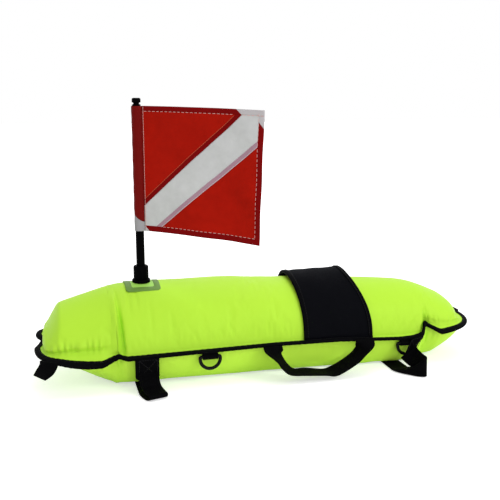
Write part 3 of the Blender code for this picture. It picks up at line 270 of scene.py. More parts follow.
# Band
BAND_X = 0.1315
BAND_SKEW = -0.0205
BAND_END_WIDTH = 0.141
BAND_CREST_WIDTH = 0.118
BAND_THICKNESS = 0.0040
BAND_CREST_HEIGHT = 0.1885
BAND_TILT = 0.003
BAND_LIE = 0.0022
BAND_EDGING_WIDTH = 0.0085
BAND_EDGING_TAPE = 0.0009
BAND_FIRST_ANGLE = 2.2
BAND_WRINKLE = 0.0006
BAND_RIPPLE = 0.0004
BAND_ROWS = 121
BAND_COLUMNS = 41
BAND_FOOT_ROWS = 7

# Webbing
WEBBING_WIDTH = 0.038
WEBBING = 0.0020
WEBBING_STAND = 0.0010
FRONT_STRAP_X = -0.245
REAR_STRAP_X = 0.258
REAR_TAB_X = 0.297
REAR_TAB_LEAN = 0.45
TAB_LENGTH = 0.040
TAB_STITCH_SHARES = (0.06, 0.86)
TAB_CORNER = 0.007
TAB_STITCH_INSET = 0.004
TAB_STITCH = (0.0032, 0.0014)
TAB_STITCH_SIZE = (0.0008, 0.0004)
FRONT_TAB_WIDTH = 0.041
REAR_TAB_WIDTH = 0.032
FRONT_TAB_TRIM = (-0.0035, 0.0)
REAR_TAB_TRIM = (0.0, -0.004)
REAR_TAB_RISE = 0.2
CORNER_LOOP_X = -0.410
CORNER_LOOP_LENGTH = 0.028
CORNER_LOOP_TWIST = math.radians(22.0)
CORNER_LOOP_OPENING = 0.006
CORNER_LOOP_LEAN = 0.0175
END_LOOP_RISE = 0.0010
HANDLE_X = 0.087
HANDLE_SPAN = 0.188
HANDLE_DROP = 0.0580
HANDLE_BOW = 0.012
HANDLE_WIDTH = 0.038

# Tow rings
RING_WIDTH = 0.0450
RING_HEIGHT = 0.0300
RING_WIRE = 0.0065
RING_SIDES = 20
RING_CORNER_SHARE = 0.45
RING_CORNER_STEPS = 6
RING_BOW_STEPS = 32

half_length = HULL_LENGTH / 2
front_corner_x = -half_length + FRONT_FACE_RUN
rear_corner_x = half_length - REAR_FACE_RUN
front_ear_x = -half_length + NOSE_LENGTH
rear_ear_x = half_length - NOSE_LENGTH
front_notch_x = -half_length + FRONT_NOTCH_INSET
rear_notch_x = half_length - REAR_NOTCH_INSET
pole_x = front_notch_x + POLE_INSET
front_notch_end_x = front_notch_x - NOTCH_END_SPAN
front_notch_body_x = front_notch_x + NOTCH_BODY_SPAN
rear_notch_body_x = rear_notch_x - NOTCH_BODY_SPAN
rear_notch_end_x = rear_notch_x + NOTCH_END_SPAN

BODY_WIDTH_SHARES = (
    (-half_length, 0.93), (front_ear_x, 0.93), (front_notch_body_x, 1.0),
    (rear_notch_body_x, 0.98), (rear_ear_x, 0.92), (half_length, 0.92),
)
CREST_SHARES = (
    (-half_length, 0.51), (front_corner_x, 0.815), (front_notch_x, 0.997), (pole_x, 1.0),
    (0.0, 0.970), (BAND_X, 0.930), (rear_notch_body_x, 0.843),
    (rear_notch_end_x, 0.764), (rear_corner_x, 0.590), (half_length, 0.42),
)
SEAM_HEIGHT_SHARES = (
    (-half_length, 1.05), (front_ear_x, 1.0), (front_notch_end_x, 0.98), (front_notch_x, 1.02),
    (front_notch_body_x, 0.98), (0.0, 1.02), (BAND_X, 1.0), (REAR_STRAP_X, 0.90),
    (rear_notch_body_x, 0.915),
    (rear_notch_x, 1.17), (rear_notch_end_x, 1.04), (half_length, 1.08),
)
BELLY_SHARES = (
    (-half_length, 0.03), (front_notch_end_x, 0.72), (front_notch_x, 1.0), (0.0, 1.05),
    (rear_notch_x, 1.20), (rear_notch_end_x, 0.92), (rear_corner_x, 0.46), (half_length, 0.05),
)
FLANGE_WIDTH_SHARES = (
    (-half_length, 0.85), (front_ear_x, 1.0), (front_notch_x, 0.85), (front_notch_body_x, 0.72),
    (rear_notch_body_x, 0.78), (rear_notch_x, 0.76), (rear_ear_x, 1.0), (half_length, 0.80),
)
FLANGE_DROOP_SHARES = (
    (-half_length, 0.1), (front_ear_x, 0.95), (front_notch_end_x, 0.98), (front_notch_x, 0.30),
    (front_notch_body_x, 0.35), (pole_x, 0.25), (0.0, 0.10), (rear_notch_body_x, 0.25),
    (rear_notch_x, 0.15), (rear_ear_x, 0.95), (half_length, 0.1),
)
PINCHES = (
    (front_notch_end_x, 0.0), (front_notch_x, FRONT_NOTCH_DEPTH), (front_notch_body_x, 0.0),
    (rear_notch_body_x, 0.0), (rear_notch_x, REAR_NOTCH_DEPTH), (rear_notch_end_x, 0.0),
)
UPPER_CREASE_SHARE = 0.8
LOWER_CREASE_SHARE = 0.6
BLEND_SHARES = (-1.0, -0.75, -0.5, -0.25, 0.0, 0.25, 0.5, 0.75, 1.0)
BELLY_STRAP_ANGLES = (161, 152, 144, 136, 127, 118, 109, 100, 90, 75)
FRONT_STRAP_SHARES = (
    (0.00, -0.10, 0.03, (1.0, 0.0, 0.0)), (0.05, 0.40, 0.03, (1.0, 0.1, 0.0)),
    (0.18, 0.80, 0.04, (1.0, 0.25, 0.0)), (0.30, 1.02, 0.10, (1.0, 0.3, 0.0)),
    (0.31, 1.01, 0.24, (1.0, 0.3, 0.0)), (0.20, 0.62, 0.30, (1.0, 0.2, 0.0)),
    (0.08, 0.22, 0.42, (1.0, 0.0, 0.0)), (0.02, 0.09, 0.72, (1.0, 0.0, 0.0)),
    (0.01, 0.07, 1.05, (1.0, 0.0, 0.0)),
)
REAR_STRAP_SHARES = (
    (0.00, -0.15, 0.035, (1.0, 0.0, 0.0)), (-0.03, 0.29, 0.10, (0.99, -0.05, 0.08)),
    (0.05, 0.82, 0.24, (0.85, -0.3, 0.35)), (0.30, 1.29, 0.44, (0.5, -0.25, 0.75)),
    (0.66, 1.60, 0.53, (0.0, 0.0, 1.0)), (0.84, 1.40, 0.54, (0.0, 0.0, 1.0)),
    (0.78, 0.95, 0.57, (0.1, 0.0, 1.0)), (0.68, 0.50, 0.64, (0.35, 0.0, 0.93)),
    (0.60, 0.20, 0.73, (0.6, 0.0, 0.8)), (0.51, 0.09, 0.84, (0.75, 0.0, 0.66)),
    (0.43, 0.08, 0.93, (0.75, 0.0, 0.66)),
)
HANDLE_SHARES = (
    (0.00, 0.00, 0.0, (-1.0, 0.0, 0.0)), (0.007, 0.13, 0.35, (-1.0, -0.1, 0.0)),
    (0.025, 0.26, 0.7, (-0.74, -0.67, 0.05)), (0.068, 0.44, 0.85, (-0.55, -0.83, 0.08)),
    (0.114, 0.66, 0.95, (-0.53, -0.84, 0.06)), (0.19, 0.86, 1.0, (-0.45, -0.89, 0.0)),
    (0.33, 0.90, 1.0, (-0.26, -0.96, -0.06)), (0.535, 0.98, 1.0, (-0.14, -0.99, 0.0)),
    (0.64, 0.97, 1.0, (0.0, -0.98, -0.19)), (0.756, 0.81, 0.95, (0.06, -0.98, -0.20)),
    (0.868, 0.60, 0.85, (0.17, -0.97, -0.16)), (0.937, 0.41, 0.7, (0.32, -0.95, -0.04)),
    (0.975, 0.25, 0.85, (0.60, -0.80, 0.02)), (0.998, 0.11, 0.45, (0.97, -0.22, 0.0)),
    (1.00, 0.00, 0.0, (1.0, 0.0, 0.0)),
)


# Shape of the hull, as the solids have it, with soft instead of faceted runs

@functools.lru_cache(maxsize=None)
def blend_table(table, x, run=FOLD_RUN):
    places, values = zip(*table)
    return float(np.mean([np.interp(x + run * s, places, values) for s in BLEND_SHARES]))


def fold(x, place, width, power=2):
    """A bell of height 1 at a place, with steeper sides at a higher power."""
    return math.exp(-((x - place) / width) ** power)


def soft_run(x):
    """Length over which a table's corners are eased: long, but short by the two sharp end corners."""
    away = min(abs(x - front_corner_x), abs(x - rear_corner_x))
    return min(SOFT_RUN, max(FOLD_RUN, away * 0.7))


def nose_power(x):
    return FRONT_NOSE_POWER if x < 0 else REAR_NOSE_POWER


def nose_run(x):
    """0 along the body, and up to 1 at the hull's ends."""
    return min(max(0.0, abs(x) - rear_ear_x) / NOSE_LENGTH, 1.0)


def nose_share(x):
    """Width at a place as a share of the body's."""
    power = nose_power(x)
    return max(0.0, 1.0 - nose_run(x) ** power) ** (1.0 / power)


def half_width(x, pinch_share):
    body = SEAM_HALF_WIDTH * blend_table(BODY_WIDTH_SHARES, x, SOFT_RUN)
    return (body - blend_table(PINCHES, x) * pinch_share) * nose_share(x)


def seam_z(x):
    return SEAM_HEIGHT * blend_table(SEAM_HEIGHT_SHARES, x)


def crest_z(x):
    return CREST_HEIGHT * blend_table(CREST_SHARES, x, soft_run(x))


def floor_z(x):
    """Height of the belly's flat, which leaves room for the straps under it."""
    front_run = FRONT_RELIEF_X - FRONT_STRAP_X - WEBBING_WIDTH
    rear_run = WEBBING_WIDTH / 2
    front = FRONT_RELIEF * min(max((FRONT_RELIEF_X - x) / front_run, 0.0), 1.0)
    rear = STRAP_RELIEF * min(max((x - REAR_STRAP_X + 3 * rear_run) / rear_run, 0.0), 1.0)
    return max(front, rear)


def eased_floor(z, floor):
    over = z - floor
    if over >= BELLY_ROUNDING:
        return z
    if over <= -BELLY_ROUNDING:
        return floor
    return floor + (over + BELLY_ROUNDING) ** 2 / (4 * BELLY_ROUNDING)


def upper_point(x, angle, inset, base_lift):
    up = math.sin(math.radians(angle))
    width = half_width(x, max(0.0, 1.0 - up / UPPER_CREASE_SHARE)) - inset * nose_share(x)
    base = seam_z(x) + base_lift
    top = max(crest_z(x) - inset, base)
    return (x, -width * math.cos(math.radians(angle)), base + (top - base) * up)


def lower_point(x, angle, inset, base_drop):
    down = math.sin(math.radians(angle))
    width = half_width(x, 1.0 - LOWER_CREASE_SHARE * down) - inset * nose_share(x)
    base = seam_z(x) - base_drop
    depth = BELLY_DEPTH * blend_table(BELLY_SHARES, x) - inset
    low = eased_floor(base - max(depth, 0.0) * down, floor_z(x) + inset)
    return (x, -width * math.cos(math.radians(angle)), min(low, base))


def flange_direction(x):
    along = math.copysign(nose_run(x) ** (nose_power(x) - 1) / NOSE_LENGTH, x)
    across = nose_share(x) ** (nose_power(x) - 1) / SEAM_HALF_WIDTH
    return Vector((along, -across, 0.0)).normalized()


def edge_lift(x):
    """How much higher the flange's edge is than on the solids.

    It hangs on the front ear, and rises to the rear notch."""
    places, heights = zip(*NOTCH_RISES)
    hang = EAR_HANG * fold(x, EAR_HANG_X, EAR_HANG_RUN, 4)
    return float(np.interp(x - rear_notch_x, places, heights)) - hang


@functools.lru_cache(maxsize=None)
def flange_points(x):
    """Seam point, flange edge point and the flange's up vector on the near side."""
    seam = Vector((x, -half_width(x, 1.0), seam_z(x)))
    out = flange_direction(x)
    reach = FLANGE_WIDTH * blend_table(FLANGE_WIDTH_SHARES, x)
    droop = FLANGE_DROOP * blend_table(FLANGE_DROOP_SHARES, x)
    level = math.sqrt(max(reach * reach - droop * droop, 0.0))
    edge = seam + out * level - Vector((0.0, 0.0, droop - edge_lift(x)))
    along = (edge - seam).normalized()
    side = out.cross(Vector((0.0, 0.0, 1.0)))
    return seam, edge, side.cross(along).normalized()


def upward(normal):
    return Vector((normal.x, normal.y, abs(normal.z)))


def far_side(point):
    return Vector((point[0], -point[1], point[2]))


def hull_rows():
    """Places along the hull, close together, and closer round the noses and by the notches."""
    steps = np.sin(np.linspace(0.0, math.pi / 2, NOSE_ROWS))
    places = [
        -half_length + NOSE_LENGTH * (1.0 - steps ** (2 / FRONT_NOSE_POWER)),
        np.arange(front_ear_x, rear_ear_x, HULL_STEP),
        half_length - NOSE_LENGTH * (1.0 - steps ** (2 / REAR_NOSE_POWER)),
    ]
    for x in (front_notch_x, rear_notch_x):
        places.append(np.arange(x - CREASE_RUN, x + CREASE_RUN, HULL_STEP / 2))
    return [float(x) for x in np.unique(np.round(np.concatenate(places), 4))]


ROWS = hull_rows()


# Meshes

def new_object(name, data):
    obj = bpy.data.objects.new(name, data)
    bpy.context.scene.collection.objects.link(obj)
    return obj


def lay_cloth(mesh, places):
    """Gives each point its place on the flat cloth, in metres, for the materials."""
    flat = np.zeros((len(places), 3), np.float32)
    flat[:, :2] = np.asarray(places, np.float32)[:, :2]
    mesh.attributes.new("cloth", "FLOAT_VECTOR", "POINT").data.foreach_set("vector", flat.ravel())


def put(name, verts, faces, cloth=None, weld=0.0):
    """A new smooth mesh object, its faces turned outward."""
    mesh = bpy.data.meshes.new(name)
    mesh.from_pydata([tuple(v) for v in verts], [], faces)
    if cloth is not None:
        lay_cloth(mesh, cloth)
    work = bmesh.new()
    work.from_mesh(mesh)
    if weld:
        bmesh.ops.remove_doubles(work, verts=work.verts, dist=weld)
        bmesh.ops.dissolve_degenerate(work, edges=work.edges, dist=weld)
    bmesh.ops.recalc_face_normals(work, faces=work.faces)
    work.to_mesh(mesh)
    work.free()
    mesh.shade_smooth()
    return new_object(name, mesh)


def grid_faces(rows, columns, start=0, close_rows=False, close_columns=False):
    faces = []
    for r in range(rows if close_rows else rows - 1):
        for c in range(columns if close_columns else columns - 1):
            r2, c2 = (r + 1) % rows, (c + 1) % columns
            faces.append((start + r * columns + c, start + r * columns + c2,
                          start + r2 * columns + c2, start + r2 * columns + c))
    return faces


def end_faces(rows, columns, start=0):
    """The two faces that close a tube of rows."""
    last = start + (rows - 1) * columns
    return [tuple(start + k for k in range(columns)), tuple(last + k for k in reversed(range(columns)))]


def body_of(node):
    bodies = frame["record"]["behaviour"]["bodies"]
    return next(body for body, nodes in bodies.items() if node in nodes)


def dress(obj, body, slot, material, *nodes):
    """Gives a piece its body and its material, and hides the solids that it stands for. Its slot is not used."""
    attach(obj, body)
    obj.data.materials.clear()
    obj.data.materials.append(material)
    if nodes:
        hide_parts(*nodes)
    return obj


def smooth_route(points, steps):
    points = [Vector(p) for p in points]
    ends = [points[0] * 2 - points[1]] + points + [points[-1] * 2 - points[-2]]
    route = []
    for i in range(1, len(ends) - 2):
        p0, p1, p2, p3 = ends[i - 1:i + 3]
        for k in range(steps):
            t = k / steps
            route.append(0.5 * ((2 * p1) + (p2 - p0) * t + (2 * p0 - 5 * p1 + 4 * p2 - p3) * t ** 2
                                + (3 * p1 - p0 - 3 * p2 + p3) * t ** 3))
    route.append(points[-1])
    return route


def distances(route):
    """Length along a route at each of its points."""
    total, out = 0.0, [0.0]
    for a, b in zip(route, route[1:]):
        total += (Vector(b) - Vector(a)).length
        out.append(total)
    return out


def dashes(name, lines, stitch, size, material, body, slot):
    """Raised stitches, stitch = (length, gap) and size = (width, height), along lines of (place, normal)."""
    dash, gap = stitch
    width, height = size
    verts, faces, cloth = [], [], []
    for line in lines:
        run = distances([place for place, _ in line])
        places = np.array([tuple(place) for place, _ in line]).T
        normals = np.array([tuple(normal) for _, normal in line]).T
        start = gap / 2
        while start + dash <= run[-1]:
            ends = [Vector([np.interp(start + dash * k, run, row) for row in places]) for k in (0, 1)]
            up = Vector([np.interp(start + dash / 2, run, row) for row in normals]).normalized()
            side = (ends[1] - ends[0]).cross(up).normalized()
            first = len(verts)
            for share, rise in STITCH_RISES:
                for u, v in STITCH_SECTION:
                    swell = rise if v > 0 else 1
                    verts.append(ends[0].lerp(ends[1], share) + side * width * u + up * height * v * swell)
                    cloth.append((start + dash * share, u * width))
            faces += grid_faces(4, 4, first, close_columns=True) + end_faces(4, 4, first)
            start += dash + gap
    return dress(put(name, verts, faces, cloth), body, slot, material)


def softened(node, slot, material, rounding, shrink=(1.0, 1.0, 1.0)):
    """A smooth piece made from a rigid solid: its edges rounded over, its round sides smooth."""
    low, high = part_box(node)
    middle = (Vector(low) + Vector(high)) / 2
    work = bmesh.new()
    work.from_mesh(frame["nodes"][node].data)
    bmesh.ops.remove_doubles(work, verts=work.verts, dist=GAP / 10)
    bmesh.ops.dissolve_limit(work, angle_limit=FLAT_ANGLE, verts=work.verts, edges=work.edges)
    sharp = [e for e in work.edges if len(e.link_faces) == 2 and e.calc_face_angle(0.0) > SHARP_ANGLE]
    if rounding and sharp:
        bmesh.ops.bevel(work, geom=sharp, offset=rounding, segments=3, affect="EDGES", profile=0.5,
                        clamp_overlap=True)
    for vert in work.verts:
        vert.co = middle + (vert.co - middle) * Vector(shrink)
    mesh = bpy.data.meshes.new(node + "_finish")
    work.to_mesh(mesh)
    work.free()
    lay_cloth(mesh, [(vert.co.x, vert.co.z) for vert in mesh.vertices])
    mesh.shade_smooth()
    mesh.set_sharp_from_angle(angle=SMOOTH_ANGLE)
    return dress(new_object(node + "_finish", mesh), body_of(node), slot, material, node)


# Materials

def fill(tree, node, inputs):
    """Sets a node's inputs, given by name or number, to values or to other nodes' outputs."""
    for key, value in inputs.items():
        if isinstance(value, bpy.types.NodeSocket):
            tree.links.new(value, node.inputs[key])
        else:
            node.inputs[key].default_value = value


def new_node(tree, kind, inputs, **settings):
    node = tree.nodes.new("ShaderNode" + kind)
    for name, value in settings.items():
        setattr(node, name, value)
    fill(tree, node, inputs)
    return node


def node_material(name, colour, roughness):
    material = bpy.data.materials.new(name)
    material.use_nodes = True
    tree = material.node_tree
    shader = tree.nodes["Principled BSDF"]
    fill(tree, shader, {"Base Color": (*colour, 1.0), "Roughness": roughness})
    return material, tree, shader


def cloth_place(tree):
    return new_node(tree, "Attribute", {}, attribute_name="cloth").outputs["Vector"]


def solid_place(tree):
    return new_node(tree, "TexCoord", {}).outputs["Object"]


def math_node(tree, operation, a, b, clamp=False):
    return new_node(tree, "Math", {0: a, 1: b}, operation=operation, use_clamp=clamp).outputs[0]


def times(tree, a, b):
    return math_node(tree, "MULTIPLY", a, b)


def plus(tree, a, b):
    return math_node(tree, "ADD", a, b)


def noise(tree, place, scale, detail=3.0, roughness=0.55):
    inputs = {"Scale": scale, "Detail": detail, "Roughness": roughness, "Vector": place}
    return new_node(tree, "TexNoise", inputs).outputs[0]


def threads(tree, place, pitch, direction):
    """Bands a thread's pitch apart along X or Y of the place."""
    inputs = {"Scale": math.pi / 10 / pitch, "Distortion": 0.0, "Vector": place}
    return new_node(tree, "TexWave", inputs, wave_type="BANDS", bands_direction=direction).outputs["Fac"]


def ramp(tree, value, low, high):
    """Maps a value between two colours."""
    inputs = {"Factor": value, "A": (*low, 1.0), "B": (*high, 1.0)}
    return new_node(tree, "Mix", inputs, data_type="RGBA").outputs["Result"]


def range_to(tree, value, low, high):
    return new_node(tree, "MapRange", {"To Min": low, "To Max": high, "Value": value}).outputs["Result"]


def bump(tree, height, strength, distance):
    inputs = {"Strength": strength, "Distance": distance, "Height": height}
    return new_node(tree, "Bump", inputs).outputs["Normal"]


def woven(name, colour, dark, roughness=0.60, pitch=0.0006, depth=0.00014, sheen=0.03, gloss=0.10,
          sheen_tint=(1.0, 1.0, 1.0)):
    """Plain woven cloth: crossing threads, a little colour change and uneven gloss."""
    material, tree, shader = node_material(name, colour, roughness)
    place = cloth_place(tree)
    weave = times(tree, threads(tree, place, pitch, "X"), threads(tree, place, pitch, "Y"))
    clouds = times(tree, noise(tree, place, CLOUD_SCALE, 4.0), CLOUD_SHARE)
    spots = times(tree, noise(tree, place, SPOT_SCALE, 4.0), 1.0 - CLOUD_SHARE)
    cloudy = plus(tree, clouds, spots)
    fuzz = times(tree, noise(tree, place, FUZZ_SCALE, 2.0), FUZZ_SHARE)
    fill(tree, shader, {
        "Base Color": ramp(tree, cloudy, dark, colour),
        "Roughness": range_to(tree, cloudy, roughness + 0.08, roughness - 0.06),
        "Normal": bump(tree, plus(tree, weave, fuzz), 0.5, depth),
        "Specular IOR Level": gloss, "Sheen Weight": sheen, "Sheen Roughness": 0.4,
        "Sheen Tint": (*sheen_tint, 1.0),
    })
    return material


def webbing_weave(name, colour, dark, roughness):
    """Nylon webbing: ribs along its length with a slanting twill across them."""
    material, tree, shader = node_material(name, colour, roughness)
    place = cloth_place(tree)
    turn = {"Rotation": (0.0, 0.0, TWILL_ANGLE), "Vector": place}
    turned = new_node(tree, "Mapping", turn).outputs["Vector"]
    ribs = times(tree, threads(tree, place, RIB_PITCH, "Y"), RIB_SHARE)
    slant = times(tree, threads(tree, turned, TWILL_PITCH, "X"), 0.5)
    height = plus(tree, ribs, slant)
    worn = noise(tree, place, WORN_SCALE, 4.0)
    fill(tree, shader, {
        "Base Color": ramp(tree, times(tree, worn, height), dark, colour),
        "Normal": bump(tree, height, 0.7, RIB_DEPTH),
        "Specular IOR Level": WEBBING_GLOSS, "Sheen Weight": WEBBING_SHEEN, "Sheen Roughness": 0.35,
    })
    return material


def moulded(name, colour, pale, roughness, grain=1400.0, depth=0.00004, gloss=0.10):
    """Moulded plastic, rubber or film: fine grain, scuffs and uneven gloss."""
    material, tree, shader = node_material(name, colour, roughness)
    place = solid_place(tree)
    scuff = noise(tree, place, SCUFF_SCALE, 6.0, 0.7)
    fill(tree, shader, {
        "Base Color": ramp(tree, math_node(tree, "POWER", scuff, 3.0), colour, pale),
        "Roughness": range_to(tree, scuff, roughness - 0.10, roughness + 0.14),
        "Normal": bump(tree, noise(tree, place, grain, 3.0), 0.35, depth),
        "Specular IOR Level": gloss,
    })
    return material


# Noise scales per metre, shares of each layer, and the webbing's weave
CLOUD_SCALE = 9.0
CLOUD_SHARE = 0.6
SPOT_SCALE = 75.0
FUZZ_SCALE = 900.0
FUZZ_SHARE = 0.6
SCUFF_SCALE = 70.0
WORN_SCALE = 60.0
TWILL_ANGLE = math.radians(32.0)
TWILL_PITCH = 0.0016
RIB_PITCH = TWILL_PITCH * 2.6
RIB_SHARE = 0.6
RIB_DEPTH = 0.00032
WEBBING_GLOSS = 0.022
WEBBING_SHEEN = 0.005

# Sheen tints of the knit, the flag's red cloth and its sleeve
BLUE_TINT = (0.30, 0.36, 0.62)
RED_TINT = (1.0, 0.45, 0.40)
DEEP_RED_TINT = (1.0, 0.30, 0.35)

LIME = woven("lime_coated_cloth", (0.470, 0.800, 0.042), (0.430, 0.755, 0.034), 0.52, 0.0007, 0.00006,
             gloss=0.18)
# The belly's cover is the same lime cloth in a lighter colour: painted light that makes up for the shade under the
# hull
LIME_BELLY_PAINTED_LIGHT = woven("lime_belly_cloth", (0.600, 0.970, 0.074), (0.560, 0.930, 0.064), 0.56, 0.0007, 0.00006,
                   gloss=0.14)
TAPE = woven("binding_tape", (0.0024, 0.0024, 0.0032), (0.0010, 0.0010, 0.0015), 0.70, 0.0009, 0.00024,
             0.005, 0.025)
NEOPRENE = woven("neoprene_knit", (0.0020, 0.0022, 0.0038), (0.0010, 0.0011, 0.0019), 0.74, 0.0006, 0.00014,
                 0.015, 0.035, BLUE_TINT)
WEBBING_CLOTH = webbing_weave("nylon_webbing", (0.0034, 0.0034, 0.0042), (0.0005, 0.0005, 0.0007), 0.68)
BLACK_PLASTIC = moulded("black_moulding", (0.0006, 0.0006, 0.0008), (0.002, 0.002, 0.003), 0.46, gloss=0.014)
BLACK_METAL = moulded("black_coated_metal", (0.0014, 0.0014, 0.0018), (0.005, 0.005, 0.006), 0.34, 900.0,
                      gloss=0.09)
RUBBER = moulded("black_rubber", (0.0045, 0.0045, 0.0045), (0.010, 0.010, 0.010), 0.75, 1800.0, 0.00005,
                 0.08)
VALVE_PLASTIC = moulded("valve_moulding", (0.0060, 0.0060, 0.0068), (0.018, 0.018, 0.020), 0.45, gloss=0.12)
FLAG_RED = woven("flag_red_nylon", (0.530, 0.0105, 0.0026), (0.250, 0.0036, 0.0008), 0.60, 0.0006, 0.00018,
                 0.015, 0.04, RED_TINT)
FLAG_HEM = woven("flag_red_hem", (0.225, 0.0020, 0.0024), (0.170, 0.0014, 0.0016), 0.62, 0.0006, 0.00018,
                 0.015, 0.04, RED_TINT)
FLAG_SLEEVE = woven("flag_sleeve_nylon", (0.175, 0.0030, 0.0016), (0.125, 0.0020, 0.0012), 0.50, 0.0006,
                    0.00018, 0.02, 0.06, DEEP_RED_TINT)
FLAG_WHITE = woven("flag_white_nylon", (0.730, 0.734, 0.730), (0.436, 0.444, 0.440))
FLAG_SEAM = woven("flag_seam_pink", (0.450, 0.275, 0.335), (0.360, 0.205, 0.260), gloss=0.08)
FLAG_PALE_HEM = woven("flag_white_hem", (0.560, 0.530, 0.540), (0.490, 0.460, 0.470))
# The sleeve's foot is the stripe's white cloth in a darker grey: painted shade
FLAG_FOOT_PAINTED_SHADE = woven("flag_sleeve_foot_nylon", (0.400, 0.390, 0.405), (0.270, 0.262, 0.275), sheen=0.02,
                  gloss=0.08)
THREAD_LOOK = {"pitch": 0.0004, "depth": 0.00010, "sheen": 0.05}
PINK_THREAD = woven("pink_thread", (0.82, 0.50, 0.46), (0.70, 0.38, 0.35), gloss=0.15, **THREAD_LOOK)
ORANGE_THREAD = woven("orange_thread", (0.66, 0.13, 0.06), (0.56, 0.09, 0.04), gloss=0.15, **THREAD_LOOK)
WHITE_THREAD = woven("white_thread", (0.72, 0.70, 0.70), (0.62, 0.60, 0.60), gloss=0.15, **THREAD_LOOK)
BLACK_THREAD = woven("black_thread", (0.006, 0.006, 0.007), (0.004, 0.004, 0.005), 0.55, gloss=0.20,
                     **THREAD_LOOK)
BLADDER_FILM = moulded("bladder_film", (0.030, 0.030, 0.034), (0.055, 0.055, 0.060), 0.40, 500.0, 0.00006,
                       0.30)
PATCH_FRAME_FILM = moulded("patch_frame_film", (0.120, 0.245, 0.036), (0.160, 0.300, 0.052), 0.46, 700.0,
                           0.00005, 0.20)
PATCH_INNER_FILM = moulded("patch_inner_film", (0.320, 0.640, 0.090), (0.370, 0.700, 0.115), 0.46, 700.0,
                           0.00005, 0.20)


# Hull covers

def pleats(x, angle):
    """Cloth gathered into the seam: round pleats with sharp valleys, strongest on the front ear."""
    ears = fold(x, FRONT_PLEAT_X, FRONT_PLEAT_RUN, 4)
    ears += REAR_PLEAT_SHARE * fold(x, rear_ear_x, REAR_PLEAT_RUN, 4) + BODY_PLEAT_SHARE
    crest = abs(math.sin(math.pi * x / PLEAT_PITCH + PLEAT_SWAY * math.sin(x / PLEAT_DRIFT)))
    return PLEAT_HEIGHT * ears * fold(angle, PLEAT_ANGLE, PLEAT_REACH) * (crest - PLEAT_MEAN)


def ear_step(x, angle):
    """How far the foot of the dome stands back from the seam on the ears, which bares a strip of flange."""
    front = fold(x, FRONT_PLEAT_X, FRONT_PLEAT_RUN * 1.1, 6)
    rear = fold(x, rear_ear_x + REAR_PLEAT_RUN / 3, REAR_PLEAT_RUN * 1.3, 6)
    step = EAR_STEP * (front + REAR_STEP_SHARE * rear)
    if angle < EAR_STEP_ANGLE:
        return step * angle / EAR_STEP_ANGLE
    return step * fold(angle, EAR_STEP_ANGLE, EAR_STEP_FADE)


def front_dart(x, up):
    """The ridge above the front notch, with a sharp line on its right that leans back at its foot."""
    down = 1.0 - up
    away = x - front_notch_x - DART_X - DART_LEAN * down
    line = DART_LINE_WIDTH
    ridge = fold(away, -line, DART_RIDGE_WIDTH * (0.9 + 0.7 * down) if away < -line else line)
    valley = fold(away, line * 0.6, line * (0.9 if away < line * 0.6 else 2.2))
    reach = min(1.0, max(0.0, DART_TOP_SHARE - up) / DART_FADE)
    reach *= min(1.0, DART_FOOT_SHARE + up / DART_FOOT_RUN)
    return reach * (DART_RIDGE_HEIGHT * ridge - DART_DEPTH * valley)


def valve_well(x, angle):
    """Depth of the cover's hole under the valve, where the mouthpiece goes down when it is pushed."""
    joint = next(row for row in frame["joints"] if row["name"] == "mouthpiece_push")
    axis = Vector(joint["axis"])
    low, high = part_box("valve_mouthpiece")
    away = Vector(upper_point(x, angle, 0.0, 0.0)) - (Vector(low) + Vector(high)) / 2
    aside = (away - away.dot(axis) * axis).length
    return VALVE_WELL_DEPTH * fold(aside, 0.0, VALVE_WELL_RADIUS, 6)


def upper_ripple(x, angle):
    """How far the upper cover stands out of its even shape."""
    near = min(angle, 180.0 - angle)
    up = math.sin(math.radians(near))
    lift = pleats(x, near) * min(1.0, nose_share(x) / 0.6)
    along, start, across, drift = UPPER_SLACK_WAVES
    lift += SLACK_HEIGHT * math.sin(x * along + start) * math.sin(math.radians(angle) * across + x * drift)
    lift += front_dart(x, up) - ear_step(x, near)
    lift += TOP_FULLNESS * up ** 2 * fold(x, TOP_FULL_X, TOP_FULL_RUN)
    back = min(1.0, max(0.0, (x - rear_corner_x + REAR_FACE_REACH) / REAR_FACE_REACH))
    lift -= REAR_FACE_INSET * back ** 1.5 * min(1.0, up / FACE_FADE)
    if abs(x - VALVE_X) < VALVE_RADIUS and angle > 90.0:
        lift -= valve_well(x, angle)
    for place, middle, run, depth in SLACK_LINES:
        line = fold(x, front_notch_x + place, SLACK_LINE_WIDTH)
        lift -= depth * max(0.0, 1.0 - abs(up - middle) / run) * line
    low = REAR_DART_DEPTH * max(0.0, 1.0 - up / REAR_DART_SHARE)
    lift -= low * fold(x, rear_notch_x - REAR_DART_X, SLACK_LINE_WIDTH)
    return lift + low * REAR_RIDGE_SHARE * fold(x, rear_notch_x + REAR_DART_RIDGE_X, DART_RIDGE_WIDTH)


def lower_ripple(x, angle):
    """How far the lower cover stands out of its even shape."""
    near = min(angle, 180.0 - angle)
    down = math.sin(math.radians(near))
    along, across, drift = LOWER_SLACK_WAVES
    lift = SLACK_HEIGHT * math.sin(x * along) * math.sin(math.radians(near) * across + x * drift)
    lift *= 1.0 - down
    lift += 0.5 * pleats(x, near)
    front, rear = (max(0.0, 1.0 - down / share) for share in LOWER_DART_SHARES)
    lift -= LOWER_DART_DEPTH * front * fold(x, front_notch_x + 0.001, SLACK_LINE_WIDTH)
    corner = LOWER_CORNER_HEIGHT * min(1.0, down / FACE_FADE)
    lift += corner * fold(x, front_notch_x - 0.002, DART_RIDGE_WIDTH)
    line = rear_notch_x - REAR_CREASE_LEAN * down
    lift -= LOWER_DART_DEPTH * 0.9 * rear * fold(x, line, SLACK_LINE_WIDTH)
    return lift + LOWER_DART_DEPTH * 0.5 * rear * fold(x, line - REAR_RIDGE_RUN, DART_RIDGE_WIDTH)


